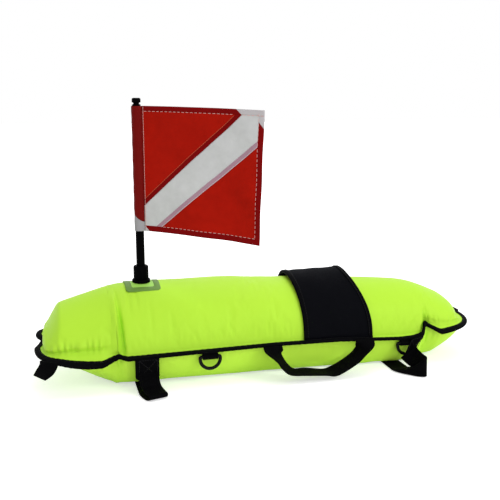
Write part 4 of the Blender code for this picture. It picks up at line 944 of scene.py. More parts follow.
def blurred(field, cells):
    """The field's broad shape, by three running means in each direction."""
    for axis in (0, 1, 0, 1, 0, 1):
        total = np.cumsum(np.pad(field, [(cells * (k == axis),) * 2 for k in (0, 1)], mode="edge"), axis)
        total = np.concatenate([np.take(total, [0], axis) * 0, total], axis)
        window = 2 * cells + 1
        places = np.arange(field.shape[axis])
        field = (np.take(total, places + window, axis) - np.take(total, places, axis)) / window
    return field


def blown_out(coarse, outward):
    """Runs a grid as cloth, cut a little too big and blown out from inside, its rim held by the seam."""
    rows, columns = coarse.shape[:2]
    obj = put("cover_cloth_run", coarse.reshape(-1, 3), grid_faces(rows, columns))
    ways = outward.reshape(-1, 3)
    if sum(f.normal.dot(Vector(ways[f.vertices[0]])) for f in obj.data.polygons) < 0:
        obj.data.flip_normals()
    index = np.arange(rows * columns).reshape(rows, columns)
    rim = np.concatenate([index[0], index[-1], index[:, 0], index[:, -1]])
    obj.vertex_groups.new(name="seam").add([int(i) for i in rim], 1.0, "REPLACE")
    cloth = obj.modifiers.new("cloth", "CLOTH")
    settings = cloth.settings
    settings.quality = SIM_QUALITY
    settings.mass = SIM_MASS
    settings.tension_stiffness = settings.compression_stiffness = SIM_STIFFNESS
    settings.shear_stiffness = SIM_STIFFNESS / 3
    settings.bending_stiffness = SIM_BENDING
    settings.vertex_group_mass = "seam"
    settings.use_pressure = True
    settings.uniform_pressure_force = SIM_PRESSURE
    settings.shrink_min = -SIM_SLACK
    settings.effector_weights.gravity = 0.0
    cloth.point_cache.frame_start = 1
    cloth.point_cache.frame_end = SIM_FRAMES
    scene = bpy.context.scene
    for step in range(1, SIM_FRAMES + 1):
        scene.frame_set(step)
    evaluated = obj.evaluated_get(bpy.context.evaluated_depsgraph_get()).data
    moved = np.empty(len(evaluated.vertices) * 3)
    evaluated.vertices.foreach_get("co", moved)
    scene.frame_set(1)
    bpy.data.objects.remove(obj)
    return moved.reshape(coarse.shape)


def slack_cloth(grid, normal):
    """The fine wrinkles that the cover's cloth run gives, as a shift of each point along its normal."""
    shift = np.zeros(grid.shape[:2])
    rows = [r for r, x in enumerate(ROWS) if nose_share(x) > SIM_NOSE_SHARE][::SIM_STRIDE]
    columns = list(range(FLANGE_ROWS, grid.shape[1] - FLANGE_ROWS, SIM_STRIDE))
    coarse, outward = grid[np.ix_(rows, columns)], normal[np.ix_(rows, columns)]
    out = np.sum((blown_out(coarse, outward) - coarse) * outward, axis=2)
    fine = np.clip(out - blurred(out, SIM_BLUR), -SIM_LIMIT, SIM_LIMIT)
    for axis in (0, 1):
        run = np.arange(fine.shape[axis])
        fade = np.minimum(1.0, np.minimum(run, run[::-1]) / 2.0)
        fine = fine * (fade[:, None] if axis == 0 else fade[None, :])
    across = np.array([np.interp(np.arange(grid.shape[1]), columns, line, 0.0, 0.0) for line in fine])
    for c in range(grid.shape[1]):
        shift[:, c] = np.interp(np.arange(grid.shape[0]), rows, across[:, c], 0.0, 0.0)
    return shift


def seam_share(angle):
    """Wrinkles are fullest near the seam and faint over the crown."""
    near = min(angle, 180.0 - angle)
    return CROWN_SHARE + (1.0 - CROWN_SHARE) * fold(near, SEAM_ANGLE, SEAM_REACH)


def held_flat(x, angle, side):
    """How free the cloth is to wrinkle: 0 under patch, valve and straps, small under the band, else 1."""
    free = 1.0
    if side > 0:
        free = min(free, HELD_SHARE + max(0.0, abs(x - BAND_X) - BAND_END_WIDTH / 2) / HELD_RUN)
        for place, half, middle in ((pole_x, PATCH_LENGTH / 2, 90.0), (VALVE_X, VALVE_RADIUS, VALVE_ANGLE)):
            away = (abs(angle - middle) - PATCH_ANGLE) / 90.0 * HELD_RUN
            free = min(free, max(0.0, abs(x - place) - half, away) / HELD_RUN)
    else:
        for place in (FRONT_STRAP_X, REAR_STRAP_X):
            free = min(free, max(0.0, abs(x - place) - WEBBING_WIDTH / 2) / HELD_RUN)
    return min(max(free, 0.0), 1.0)


def nose_set(points):
    """Draws the middle of the front end in at the seam, and curls its far corner up a little."""
    points = np.array([tuple(p) for p in points]) if isinstance(points, list) else np.array(points)
    ahead = np.clip((NOSE_SET_X - points[..., 0]) / NOSE_SET_RUN, 0.0, 1.0)
    ahead = ahead * np.exp(-((points[..., 2] - seam_z(-half_length)) / NOSE_SET_HEIGHT) ** 2)
    points[..., 2] += FAR_CORNER_CURL * ahead * np.clip(points[..., 1] / FAR_CORNER_RUN, 0.0, 1.0)
    points[..., 0] += NOSE_PINCH * ahead * np.exp(-((points[..., 1] - NOSE_PINCH_Y) / NOSE_PINCH_HALF) ** 2)
    return points


def even_grid(point, angles, side):
    """Rows of points across a cover: near flange from its edge in, the shell, and the far flange out."""
    rows = []
    for x in ROWS:
        seam, edge, up = flange_points(x)
        start = edge - (edge - seam).normalized() * (BINDING_WIDTH * 0.5)
        flange = [start.lerp(seam, k / FLANGE_ROWS) + up * side * FABRIC_TOP for k in range(FLANGE_ROWS)]
        shell = [Vector(point(x, a, 0.0, FABRIC_TOP)) for a in angles]
        rows.append(flange + shell + [far_side(p) for p in reversed(flange)])
    return np.array([[tuple(p) for p in row] for row in rows])


def cover_grid(point, angles, side, ripple):
    """The even grid with its folds and wrinkles, and the nose set."""
    grid = even_grid(point, angles, side)
    normal = np.cross(np.gradient(grid, axis=0), np.gradient(grid, axis=1))
    size = np.linalg.norm(normal, axis=2, keepdims=True)
    normal = np.where(size > 1e-12, normal / np.maximum(size, 1e-12), (0.0, 0.0, side))
    if normal[len(ROWS) // 2, grid.shape[1] // 2, 2] * side < 0:
        normal = -normal
    shift = np.zeros(grid.shape[:2])
    shell = slice(FLANGE_ROWS, -FLANGE_ROWS)
    shift[:, shell] = [[ripple(x, a) * min(1.0, 6 * nose_share(x)) for a in angles] for x in ROWS]
    free = np.array([[held_flat(x, a, side) * seam_share(a) for a in angles] for x in ROWS])
    shift[:, shell] += slack_cloth(grid, normal)[:, shell] * free
    grid = nose_set(grid + normal * shift[..., None])
    if side < 0:
        grid[..., 2] = np.maximum(grid[..., 2], 0.0)
    return grid


def make_covers():
    for half, point, cells, side, ripple, slot, material in (
            ("upper", upper_point, DOME_COLUMNS, 1.0, upper_ripple, "hull_fabric", LIME),
            # the lower cover takes the lime cloth painted lighter, as painted light against the belly's shade
            ("lower", lower_point, BELLY_COLUMNS, -1.0, lower_ripple, "belly_fabric", LIME_BELLY_PAINTED_LIGHT)):
        grid = cover_grid(point, np.linspace(0.0, 180.0, cells + 1), side, ripple)
        rows, columns = grid.shape[:2]
        steps = np.linalg.norm(np.diff(grid, axis=1), axis=2)
        arc = np.concatenate([np.zeros((rows, 1)), np.cumsum(steps, axis=1)], axis=1)
        arc = arc - arc[:, columns // 2][:, None]
        cloth = np.stack([grid[..., 0], arc], axis=2).reshape(-1, 2)
        name = "cover_" + half
        cover = put(name + "_cloth", grid.reshape(-1, 3), grid_faces(rows, columns), cloth, WELD)
        dress(cover, "hull", slot, material, name)


# Binding

def tape_width(x):
    return blend_table(TAPE_WIDTHS, x, SOFT_RUN)


def half_round(tip, round_share, thick):
    """Points round a folded tape's edge, from its upper to its lower side."""
    radius = thick * round_share
    points = []
    for k in range(BINDING_ROUND_STEPS + 1):
        angle = math.pi / 2 - math.pi * k / BINDING_ROUND_STEPS
        points.append((tip - radius + radius * math.cos(angle), thick * math.sin(angle)))
    return points


def binding_profile(width):
    """Section of the folded tape: in from the edge, and above or below the flange."""
    side = [(-width, TAPE_INSIDE), (-width - GAP, TAPE_OUTSIDE - BINDING_TAPE / 3)]
    side.append((-width + GAP, TAPE_OUTSIDE))
    for share in (0.85, 0.65, 0.45, 0.25):
        side.append((-width * share, TAPE_OUTSIDE + BINDING_SHOULDER * math.sin(math.pi * (1.0 - share))))
    turn = half_round(GAP + BINDING_TAPE, 0.75, TAPE_OUTSIDE + BINDING_SHOULDER * 0.7)
    return side + turn + [(u, -v) for u, v in reversed(side)]


def make_binding():
    """Woven tape folded over the flange's edge, with rounded shoulders and a row of stitches."""
    near = [flange_points(x) for x in ROWS]
    rim = near + [tuple(far_side(v) for v in item) for item in near[-2:0:-1]]
    run = distances([edge for _, edge, _ in rim])
    verts, cloth = [], []
    for (seam, edge, up), along_rim in zip(rim, run):
        up = upward(up)
        along = (edge - seam).normalized()
        ear = fold(seam.x, front_ear_x, EAR_WAVE_RUN) + BODY_WAVE_SHARE
        phase = along_rim * 2 * math.pi / PLEAT_PITCH + math.sin(along_rim * WAVE_DRIFT)
        wave = BINDING_WAVE * ear * math.sin(phase)
        profile = binding_profile(tape_width(seam.x))
        thick = 1.0 + NOTCH_SWELL * fold(seam.x, rear_notch_x - NOTCH_SWELL_X, NOTCH_SWELL_RUN)
        verts += [edge + along * u + up * (v * thick + wave) for u, v in profile]
        cloth += [(along_rim, width) for width in distances(profile)]
    faces = grid_faces(len(rim), len(profile), close_rows=True)
    obj = put("edge_binding_tape", nose_set(verts), faces, cloth)
    dress(obj, "hull", "black_tape", TAPE, "edge_binding")
    stand = TAPE_OUTSIDE + BINDING_SHOULDER * 0.6
    lines = []
    for side in (1, -1):
        line = []
        for seam, edge, up in rim + rim[:1]:
            up = upward(up) * side
            place = edge - (edge - seam).normalized() * tape_width(seam.x) * STITCH_INSET_SHARE + up * stand
            line.append((Vector(nose_set([place])[0]), up))
        lines.append(line)
    dashes("edge_binding_stitches", lines, BINDING_STITCH, BINDING_STITCH_SIZE, BLACK_THREAD, "hull",
           "black_tape")


# Band

def band_path(share, angle):
    """Middle point and normal of the band at a share of its half width and an angle round the dome."""
    up = math.sin(math.radians(angle))
    width = BAND_END_WIDTH + (BAND_CREST_WIDTH - BAND_END_WIDTH) * up ** 3
    x = BAND_X + BAND_SKEW * up ** 3 + share * width / 2
    base = seam_z(x) + GAP / 2 + FABRIC
    lift = BAND_CREST_HEIGHT + BAND_TILT * share / 2 - crest_z(x) - BAND_THICKNESS
    stand = BAND_LIE + BAND_THICKNESS / 2 + max(lift - BAND_LIE, 0.0) * up ** 4
    wide = half_width(x, 0.0)
    high = crest_z(x) - base
    cosine = math.cos(math.radians(angle))
    normal = Vector((0.0, -high * cosine, wide * up)).normalized()
    return Vector((x, -wide * cosine, base + high * up)) + normal * stand, normal


def band_foot(share):
    """The band's run from its CAD end down the hull's side, over the flange and up to the binding's tape."""
    start, normal = band_path(share, BAND_FIRST_ANGLE)
    seam, edge, up = flange_points(start.x)
    along = (edge - seam).normalized()
    up = upward(up)
    stand = BAND_THICKNESS / 2 + BAND_LIE / 3 + FABRIC
    corner = seam + up * stand + along * (BAND_THICKNESS / 2 + FABRIC)
    end = edge - along * (tape_width(start.x) + 2 * GAP) + up * stand
    row = []
    for k in range(1, BAND_FOOT_ROWS + 1):
        t = k / BAND_FOOT_ROWS
        place = start * (1 - t) ** 2 + corner * 2 * t * (1 - t) + end * t ** 2
        row.append((place, (normal * (1 - t) + up * t).normalized()))
    return row


def band_rows(shares):
    """Middle points and normals of the band, from binding to binding."""
    angles = np.linspace(BAND_FIRST_ANGLE, 180.0 - BAND_FIRST_ANGLE, BAND_ROWS)
    rows = [[band_path(share, float(angle)) for share in shares] for angle in angles]
    near = [list(row) for row in zip(*[band_foot(share) for share in shares])]
    far = [[(far_side(place), far_side(normal)) for place, normal in row] for row in near]
    return near[::-1] + rows + far


def band_wrinkle(share, turn):
    wrinkle = BAND_WRINKLE * math.sin(3.1 * share + 5.0 * turn) * math.sin(4.0 * turn)
    wrinkle += BAND_RIPPLE * math.sin(9.0 * share - 7.0 * turn)
    return wrinkle * (1.0 - abs(share) ** 4)


def make_band():
    shares = [float(s) for s in np.linspace(-1.0, 1.0, BAND_COLUMNS)]
    rows = band_rows(shares)
    count, last = BAND_COLUMNS, len(rows) - 1
    run = distances([row[count // 2][0] for row in rows])
    verts, cloth = [], []
    for side in (1, -1):
        for r, row in enumerate(rows):
            for share, (middle, normal) in zip(shares, row):
                lift = band_wrinkle(share, math.pi * r / len(rows))
                verts.append(middle + normal * (BAND_THICKNESS / 2 * side + lift))
                cloth.append((share * BAND_CREST_WIDTH / 2, run[r]))
    layer = len(rows) * count
    faces = grid_faces(len(rows), count) + grid_faces(len(rows), count, layer)
    rim = list(range(count)) + [r * count + count - 1 for r in range(1, last + 1)]
    rim += [last * count + c for c in range(count - 2, -1, -1)] + [r * count for r in range(last - 1, 0, -1)]
    faces += [(a, b, b + layer, a + layer) for a, b in zip(rim, rim[1:] + rim[:1])]
    obj = put("hold_down_band_neoprene", verts, faces, cloth)
    dress(obj, "hull", "neoprene", NEOPRENE, "hold_down_band")
    make_band_edging("front", rows, run, 0, 1)
    make_band_edging("rear", rows, run, count - 1, -1)


def make_band_edging(end, rows, run, column, step):
    """Narrow tape folded over one edge of the band, with its stitches."""
    inside = BAND_THICKNESS / 2 + 2 * GAP
    outside = inside + BAND_EDGING_TAPE
    wide = BAND_EDGING_WIDTH
    side = [(-wide, inside), (-wide, outside - GAP), (-wide * 0.9, outside), (-wide * 0.4, outside)]
    profile = side + half_round(GAP + BAND_EDGING_TAPE, 0.6, outside) + [(u, -v) for u, v in reversed(side)]
    widths = distances(profile)
    verts, cloth, stitches = [], [], []
    for along, row in zip(run, rows):
        middle, normal = row[column]
        away = middle - row[column + step * BAND_COLUMNS // 4][0]
        away = (away - normal * away.dot(normal)).normalized()
        verts += [middle + away * u + normal * v for u, v in profile]
        cloth += [(along, width) for width in widths]
        stitches.append((middle - away * wide * STITCH_INSET_SHARE + normal * outside, normal))
    name = "band_edging_" + end
    faces = grid_faces(len(rows), len(profile)) + end_faces(len(rows), len(profile))
    dress(put(name + "_tape", verts, faces, cloth), "hull", "black_tape", TAPE, name)
    dashes(name + "_stitches", [stitches], BINDING_STITCH, BINDING_STITCH_SIZE, BLACK_THREAD, "hull",
           "black_tape")


# Webbing

def ribbon(name, knots, width, steps, tail=None, corner=0.0):
    """Webbing with rounded selvedges along knots of (place, way across). corner rounds its last end."""
    route = smooth_route([k[0] for k in knots], steps)
    sides = smooth_route([k[1].normalized() for k in knots], steps)
    if tail:
        joined = [knots[-1]] + tail
        route += smooth_route([k[0] for k in joined], max(steps, 8))[1:]
        sides += smooth_route([k[1].normalized() for k in joined], max(steps, 8))[1:]
    half, edge = width / 2, WEBBING / 2
    profile = [(-half + edge * 0.8, edge)]
    profile += [(half * share, edge) for share in (-0.75, -0.5, -0.25, 0.0, 0.25, 0.5, 0.75)]
    profile += [(half - edge * 0.8, edge), (half, 0.0)]
    profile += [(-u, -v) for u, v in profile]
    run = distances(route)
    verts, cloth = [], []
    for i, (place, side) in enumerate(zip(route, sides)):
        ahead = route[min(i + 1, len(route) - 1)] - route[max(i - 1, 0)]
        normal = ahead.cross(side).normalized()
        side = side.normalized()
        left = corner - (run[-1] - run[i])
        narrow = corner - math.sqrt(max(corner ** 2 - left ** 2, 0.0)) if left > 0 else 0.0
        for u, v in profile:
            u *= 1.0 - narrow / half
            verts.append(place + side * u + normal * v)
            cloth.append((run[i], u))
    count = len(profile)
    faces = grid_faces(len(route), count, close_columns=True) + end_faces(len(route), count)
    return put(name, verts, faces, cloth)


def seam_outside(x, reach):
    """Place in y and z of webbing that hangs outside the binding over a stretch of the seam."""
    edges = [flange_points(x + side * reach)[1] for side in (-1, 0, 1)]
    return min(e.y for e in edges) - BINDING_TAPE - 3 * GAP - WEBBING / 2, edges[1].z


def belly_knots(x):
    knots = []
    stand = WEBBING / 2 + WEBBING_STAND
    for angle in BELLY_STRAP_ANGLES:
        places = [x + side * WEBBING_WIDTH / 2 for side in (-1, 0, 1)]
        points = [lower_point(place, angle, -stand, FABRIC_TOP) for place in places]
        far = max(p[1] for p in points) if angle > 90 else min(p[1] for p in points)
        low = max(min(p[2] for p in points), WEBBING / 2)
        knots.append((Vector((x, far, low)), Vector((1.0, 0.0, 0.0))))
    return knots


def strap_end(x, y, table):
    """Knots of a strap's free end, given in shares of the webbing's width."""
    knots = []
    for along, out, up, side in table:
        low = max(up * WEBBING_WIDTH, WEBBING / 2)
        knots.append((Vector((x + along * WEBBING_WIDTH, y - out * WEBBING_WIDTH, low)), Vector(side)))
    return knots


def make_belly_strap(end, x, tab_x, tab_width, table, tab_lean, tab_trim, tab_rise):
    y, top = seam_outside(tab_x, tab_width / 2)
    low = top - TAB_LENGTH
    lean = Vector((tab_lean * TAB_LENGTH, 0.0, 0.0))
    across = Vector((1.0, 0.0, tab_rise)).normalized()
    slanted = Vector((1.0, 0.0, -tab_lean)).normalized()
    head, foot = Vector((tab_x, y, top)), Vector((tab_x, y, low)) + lean
    left, right = tab_trim
    knots = [(head, across), (Vector((tab_x, y, top - TAB_LENGTH / 8)), across),
             (Vector((tab_x, y, (top + low) / 2)) + lean / 2, slanted), (foot, slanted)]
    knots = [(place + Vector(((left + right) / 2, 0.0, 0.0)), side) for place, side in knots]
    tab = ribbon("strap_tab_" + end + "_webbing", knots, tab_width + right - left, 14, corner=TAB_CORNER)
    dress(tab, "hull", "webbing", WEBBING_CLOTH, "strap_tab_" + end)
    inset = tab_width / 2 - TAB_STITCH_INSET
    corners = []
    high_share, low_share = TAB_STITCH_SHARES
    for share, side in ((high_share, -1), (high_share, 1), (low_share, 1), (low_share, -1)):
        way = across.lerp(slanted, share).normalized()
        corners.append(head.lerp(foot, share) + way * inset * side + Vector((0.0, -WEBBING / 2, 0.0)))
    pairs = list(zip(corners, corners[1:] + corners[:1])) + [corners[0::2], corners[1::2]]
    lines = [[(a.lerp(b, k / 6), Vector((0.0, -1.0, 0.0))) for k in range(7)] for a, b in pairs]
    dashes("strap_tab_" + end + "_stitches", lines, TAB_STITCH, TAB_STITCH_SIZE, BLACK_THREAD, "hull",
           "webbing")
    tail = strap_end(x, y, table)
    strap = ribbon("belly_strap_" + end + "_webbing", belly_knots(x), WEBBING_WIDTH, 4, tail)
    dress(strap, "hull", "webbing", WEBBING_CLOTH, "belly_strap_" + end)


def make_corner_loop(name, node, place, out, along, lean):
    """Webbing folded into a hanging loop. With a lean its foot also sways and twists."""
    bend = CORNER_LOOP_OPENING / 2 + WEBBING / 2
    near = WEBBING / 2 + GAP
    length = CORNER_LOOP_LENGTH
    shape = (
        (near, 0.0), (near, -0.25 * length), (bend, bend * 2 - length), (0.0, -length),
        (-bend, bend * 2 - length), (-near, -0.25 * length), (-near, 0.0),
    )
    start = near + WEBBING / 2 + 2 * GAP + BINDING_TAPE
    knots = []
    for u, down in shape:
        drop = (down / length) ** 2
        sway = Vector((lean, 0.0, 0.0)) * drop
        turn = Matrix.Rotation(-CORNER_LOOP_TWIST * drop * (lean != 0), 3, "Z")
        knots.append((place + out * start + turn @ out * u + sway + Vector((0.0, 0.0, down)), turn @ along))
    dress(ribbon(name, knots, WEBBING_WIDTH, 10), "hull", "webbing", WEBBING_CLOTH, node)


def make_corner_loops():
    seam, edge, _ = flange_points(CORNER_LOOP_X)
    out = Vector((edge.x - seam.x, edge.y - seam.y, 0.0)).normalized()
    place = edge + Vector((0.0, 0.0, BINDING_WIDTH / 3))
    make_corner_loop("corner_loop_webbing", "corner_loop_front", place, out, Vector((-out.y, out.x, 0.0)),
                     -CORNER_LOOP_LEAN)
    _, edge, _ = flange_points(half_length)
    place = edge + Vector((0.0, WEBBING_WIDTH / 2, BINDING_WIDTH / 3 + END_LOOP_RISE))
    make_corner_loop("end_loop_webbing", "end_loop_rear", place, Vector((1.0, 0.0, 0.0)),
                     Vector((0.0, 1.0, 0.0)), 0.0)


def make_handle():
    start = HANDLE_X - HANDLE_SPAN / 2
    y, top = seam_outside(HANDLE_X, (HANDLE_SPAN + HANDLE_WIDTH) / 2)
    knots = []
    for along, down, bow, side in HANDLE_SHARES:
        place = Vector((start + HANDLE_SPAN * along, y - HANDLE_BOW * bow, top - HANDLE_DROP * down))
        knots.append((place, Vector(side)))
    obj = ribbon("carry_handle_webbing", knots, HANDLE_WIDTH, 10)
    dress(obj, "handle", "webbing", WEBBING_CLOTH, "carry_handle")


# Flag. Its flat places are (along, up) from the pole and from its foot

flag_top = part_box("flag_sleeve")[1].z
flag_way = Vector((math.cos(FLAG_TURN), math.sin(FLAG_TURN), 0.0))
flag_across = Vector((-flag_way.y, flag_way.x, 0.0))


def flag_place(along, up):
    """Where a flat place is on the flag as it hangs from the pole."""
    run = max(0.0, along - SLEEVE_REACH) / (FLAG_LENGTH - SLEEVE_REACH)
    along -= FLAG_TAPER * run * (1.0 - up / FLAG_HEIGHT)
    wave = FLAG_WAVE * run * math.sin(2 * math.pi * along / FLAG_WAVELENGTH + up / FLAG_HEIGHT)
    wave += FLAG_RIPPLE * run * math.sin(2 * math.pi * (along * 0.8 + up * 0.6) / FLAG_RIPPLE_LENGTH)
    height = flag_top - FLAG_HEIGHT + up - (FLAG_DROOP + FLY_DROOP * (1.0 - up / FLAG_HEIGHT)) * run ** 1.5
    centre = Vector((pole_x, 0.0, 0.0))
    return centre + flag_way * along + flag_across * wave + Vector((0.0, 0.0, height))


def flag_panel(name, keep, thickness=FLAG_CLOTH, margin=0.0):
    """A grid of the flag's cloth cut along slanting lines, with a front and a back face."""
    work = bmesh.new()
    cells = FLAG_CELLS
    start = SLEEVE_REACH + GAP
    step_u = (FLAG_LENGTH + margin - start) / cells
    step_v = (FLAG_HEIGHT + 2 * margin) / cells
    for i in range(cells + 1):
        for j in range(cells + 1):
            work.verts.new((start + i * step_u, j * step_v - margin, 0.0))
    work.verts.ensure_lookup_table()
    for a, b, c, d in grid_faces(cells + 1, cells + 1):
        work.faces.new([work.verts[k] for k in (a, d, c, b)])
    for line, side in keep:
        ends = [Vector((u, v, 0.0)) for u, v in line]
        slope = (ends[1] - ends[0]).normalized()
        normal = Vector((-slope.y, slope.x, 0.0)) * side
        geometry = list(work.verts) + list(work.edges) + list(work.faces)
        bmesh.ops.bisect_plane(work, geom=geometry, plane_co=ends[0], plane_no=normal, clear_outer=True)
    bmesh.ops.remove_doubles(work, verts=work.verts, dist=GAP / 3)
    work.verts.index_update()
    verts, cloth, count = [], [], len(work.verts)
    for side in (-1, 1):
        for vert in work.verts:
            verts.append(flag_place(vert.co.x, vert.co.y) + flag_across * side * thickness / 2)
            cloth.append((vert.co.x, vert.co.y))
    faces = [tuple(v.index for v in f.verts) for f in work.faces]
    faces += [tuple(v.index + count for v in reversed(f.verts)) for f in work.faces]
    for edge in work.edges:
        if len(edge.link_faces) == 1:
            a, b = (v.index for v in edge.verts)
            faces.append((a, b, b + count, a + count))
    work.free()
    return put(name, verts, faces, cloth)


def line_of(shares):
    return [(u * FLAG_LENGTH, v * FLAG_HEIGHT) for u, v in shares]


def shifted(line, distance):
    """The line moved to its left."""
    (u1, v1), (u2, v2) = line
    length = math.dist(*line)
    du, dv = -(v2 - v1) / length * distance, (u2 - u1) / length * distance
    return [(u1 + du, v1 + dv), (u2 + du, v2 + dv)]


def point_on(line, u=None, v=None):
    """Where the line has a place along, or a height."""
    (u1, v1), (u2, v2) = line
    share = (u - u1) / (u2 - u1) if u is not None else (v - v1) / (v2 - v1)
    return (u1 + (u2 - u1) * share, v1 + (v2 - v1) * share)


def flag_stitches(name, pairs, stitch, material):
    """Stitches through the flag between pairs of points, seen on both faces."""
    lines = []
    for (u1, v1), (u2, v2) in pairs:
        shares = [k / FLAG_STITCH_STEPS for k in range(FLAG_STITCH_STEPS + 1)]
        route = [flag_place(u1 + (u2 - u1) * share, v1 + (v2 - v1) * share) for share in shares]
        for side in (-1, 1):
            normal = flag_across * side
            lines.append([(place + normal * HEM_SIDE / 2, normal) for place in route])
    return dashes(name, lines, stitch, FLAG_STITCH_SIZE, material, "flag", "flag_white")


def make_flag():
    """Three fields of cloth in one flag, with turned hems, a folded band along the stripe and stitches."""
    long, high = FLAG_LENGTH, FLAG_HEIGHT
    head_v, fly_u = high - TOP_HEM, long - FLY_HEM
    above, below = line_of(STRIPE_TOP_EDGE_SHARES), line_of(STRIPE_FOOT_EDGE_SHARES)
    head = [(0.0, head_v), (long, head_v)]
    foot = [(0.0, FOOT_HEM), (long, FOOT_HEM)]
    fly = [(fly_u, 0.0), (fly_u, high)]
    band_edge, seam_edge = shifted(above, FOLD_BAND), shifted(below, STRIPE_SEAM)
    hem_line = shifted(below, FLAG_STITCH_SIZE[0])
    above_head = point_on(above, v=head_v)
    turn_head = [above_head, (above_head[0] - HEM_TURN, high)]
    turn_fly = [(fly_u, high - FLY_TURN), (long, high - FLY_TURN - HEM_TURN)]
    turn_foot = [(SLEEVE_REACH + HEM_TURN, 0.0), (SLEEVE_REACH + GAP, FOOT_HEM)]
    fields = {}
    for name, material, slot, keep in (
            ("upper", FLAG_RED, "flag_red", [(above, -1)]),
            ("stripe", FLAG_WHITE, "flag_white", [(above, 1), (below, -1)]),
            ("lower", FLAG_RED, "flag_red", [(below, 1)])):
        fields[name] = (flag_panel("flag_" + name + "_cloth", keep), material, slot)
    extras = {name: [] for name in fields}
    for field, name, material, keep in (
            ("upper", "hem_top", FLAG_HEM, [(turn_head, -1), (head, -1)]),
            ("upper", "fold", FLAG_HEM, [(above, -1), (band_edge, 1), (head, 1)]),
            ("lower", "hem_fly", FLAG_HEM, [(below, 1), (fly, 1)]),
            ("lower", "hem_foot", FLAG_HEM, [(below, 1), (foot, 1), (fly, -1)]),
            ("stripe", "hem_top", FLAG_PALE_HEM, [(turn_head, 1), (head, -1)]),
            ("stripe", "hem_fly", FLAG_PALE_HEM, [(turn_fly, -1), (fly, 1), (head, 1)]),
            ("stripe", "fold_fly", FLAG_HEM, [(below, -1), (turn_fly, 1), (fly, 1)]),
            ("stripe", "hem_foot", FLAG_PALE_HEM, [(turn_foot, -1), (foot, 1)]),
            ("stripe", "fold_foot", FLAG_HEM, [(turn_foot, 1), (below, -1), (foot, 1)]),
            ("stripe", "seam", FLAG_SEAM, [(below, -1), (seam_edge, 1), (foot, -1), (fly, -1)])):
        hem = flag_panel(f"flag_{field}_{name}_cloth", keep, HEM_SIDE, GAP)
        slot = "flag_red" if material == FLAG_HEM else "flag_white"
        extras[field].append(dress(hem, "flag", slot, material))
    inset = SLEEVE_REACH + SLEEVE_STITCH_INSET
    below_fly, below_foot = point_on(below, u=fly_u), point_on(below, v=FOOT_HEM)
    band_head = point_on(band_edge, v=head_v)
    for field, name, stitch, thread, pairs in (
            ("upper", "upper_hem", HEM_STITCH, PINK_THREAD, [((inset, head_v), band_head)]),
            ("upper", "upper_fold", CLOSE_STITCH, ORANGE_THREAD,
             [(point_on(band_edge, u=inset), band_head)]),
            ("stripe", "stripe_seam", CLOSE_STITCH, WHITE_THREAD,
             [(point_on(line, v=FOOT_HEM), point_on(line, u=fly_u)) for line in (seam_edge, hem_line)]),
            ("stripe", "stripe_hem", HEM_STITCH, PINK_THREAD,
             [(below_fly, (fly_u, high)), (above_head, (long, head_v))]),
            ("lower", "lower_hem", HEM_STITCH, PINK_THREAD,
             [((fly_u, FOOT_HEM), below_fly), (below_foot, (fly_u, FOOT_HEM))]),
            ("upper", "sleeve", CLOSE_STITCH, PINK_THREAD, [((inset, FOOT_HEM / 4), (inset, high))])):
        extras[field].append(flag_stitches("flag_" + name + "_stitches", pairs, stitch, thread))
    nodes = {"upper": "flag_field_upper", "stripe": "flag_stripe", "lower": "flag_field_lower"}
    for name, (obj, material, slot) in fields.items():
        dress(obj, "flag", slot, material, nodes[name])
    make_sleeve()


def make_sleeve():
    """The flag's hollow hem round the pole: red, with a foot where the stripe runs into it, its white cloth
    painted grey as shade.
    """
    inner = POLE_DIAMETER / 2 + SLEEVE_CLEARANCE
    outer = inner + FLAG_CLOTH
    steps, levels = SLEEVE_STEPS, SLEEVE_LEVELS
    bottom = flag_top - FLAG_HEIGHT

    def split(angle):
        return bottom + SLEEVE_FOOT - SLEEVE_SLANT * math.cos(angle)

    for name, material, slot, low, tall in (
            ("flag_sleeve_foot", FLAG_FOOT_PAINTED_SHADE, "flag_white", lambda a: bottom, lambda a: split(a) - GAP),
            ("flag_sleeve", FLAG_SLEEVE, "flag_red", split, lambda a: flag_top)):
        verts, cloth = [], []
        for radius, tail in ((inner, SLEEVE_REACH - FLAG_CLOTH * 1.5), (outer, SLEEVE_REACH)):
            for level in range(levels + 1):
                for k in range(steps):
                    angle = 2 * math.pi * k / steps
                    height = low(angle) + (tall(angle) - low(angle)) * level / levels
                    ruffle = SLEEVE_RUFFLE * math.sin(height * SLEEVE_RUFFLE_TURNS + 2 * angle)
                    ruffle *= radius == outer
                    u = (radius + ruffle) * math.cos(angle)
                    if math.cos(angle) > 0:
                        u += (tail - radius) * math.cos(angle) ** 3
                    v = (radius + ruffle) * math.sin(angle)
                    verts.append(Vector((pole_x, 0.0, height)) + flag_way * u + flag_across * v)
                    cloth.append((angle * radius, height))
        layer = (levels + 1) * steps
        faces = grid_faces(levels + 1, steps, close_columns=True)
        faces += grid_faces(levels + 1, steps, layer, close_columns=True)
        for level in (0, levels):
            for k in range(steps):
                a, b = level * steps + k, level * steps + (k + 1) % steps
                faces.append((a, b, b + layer, a + layer))
        obj = put(name + "_cloth", verts, faces, cloth)
        dress(obj, "flag", slot, material, *(["flag_sleeve"] if name == "flag_sleeve" else []))


# Patch under the pole's socket

def crown(x, y, lift):
    """Point over the upper cover at a place in plan."""
    base = seam_z(x) + GAP / 2 + FABRIC
    angle = math.acos(min(max(-y / half_width(x, 0.0), -1.0), 1.0))
    return Vector((x, y, base + (crest_z(x) - base) * math.sin(angle) + lift))


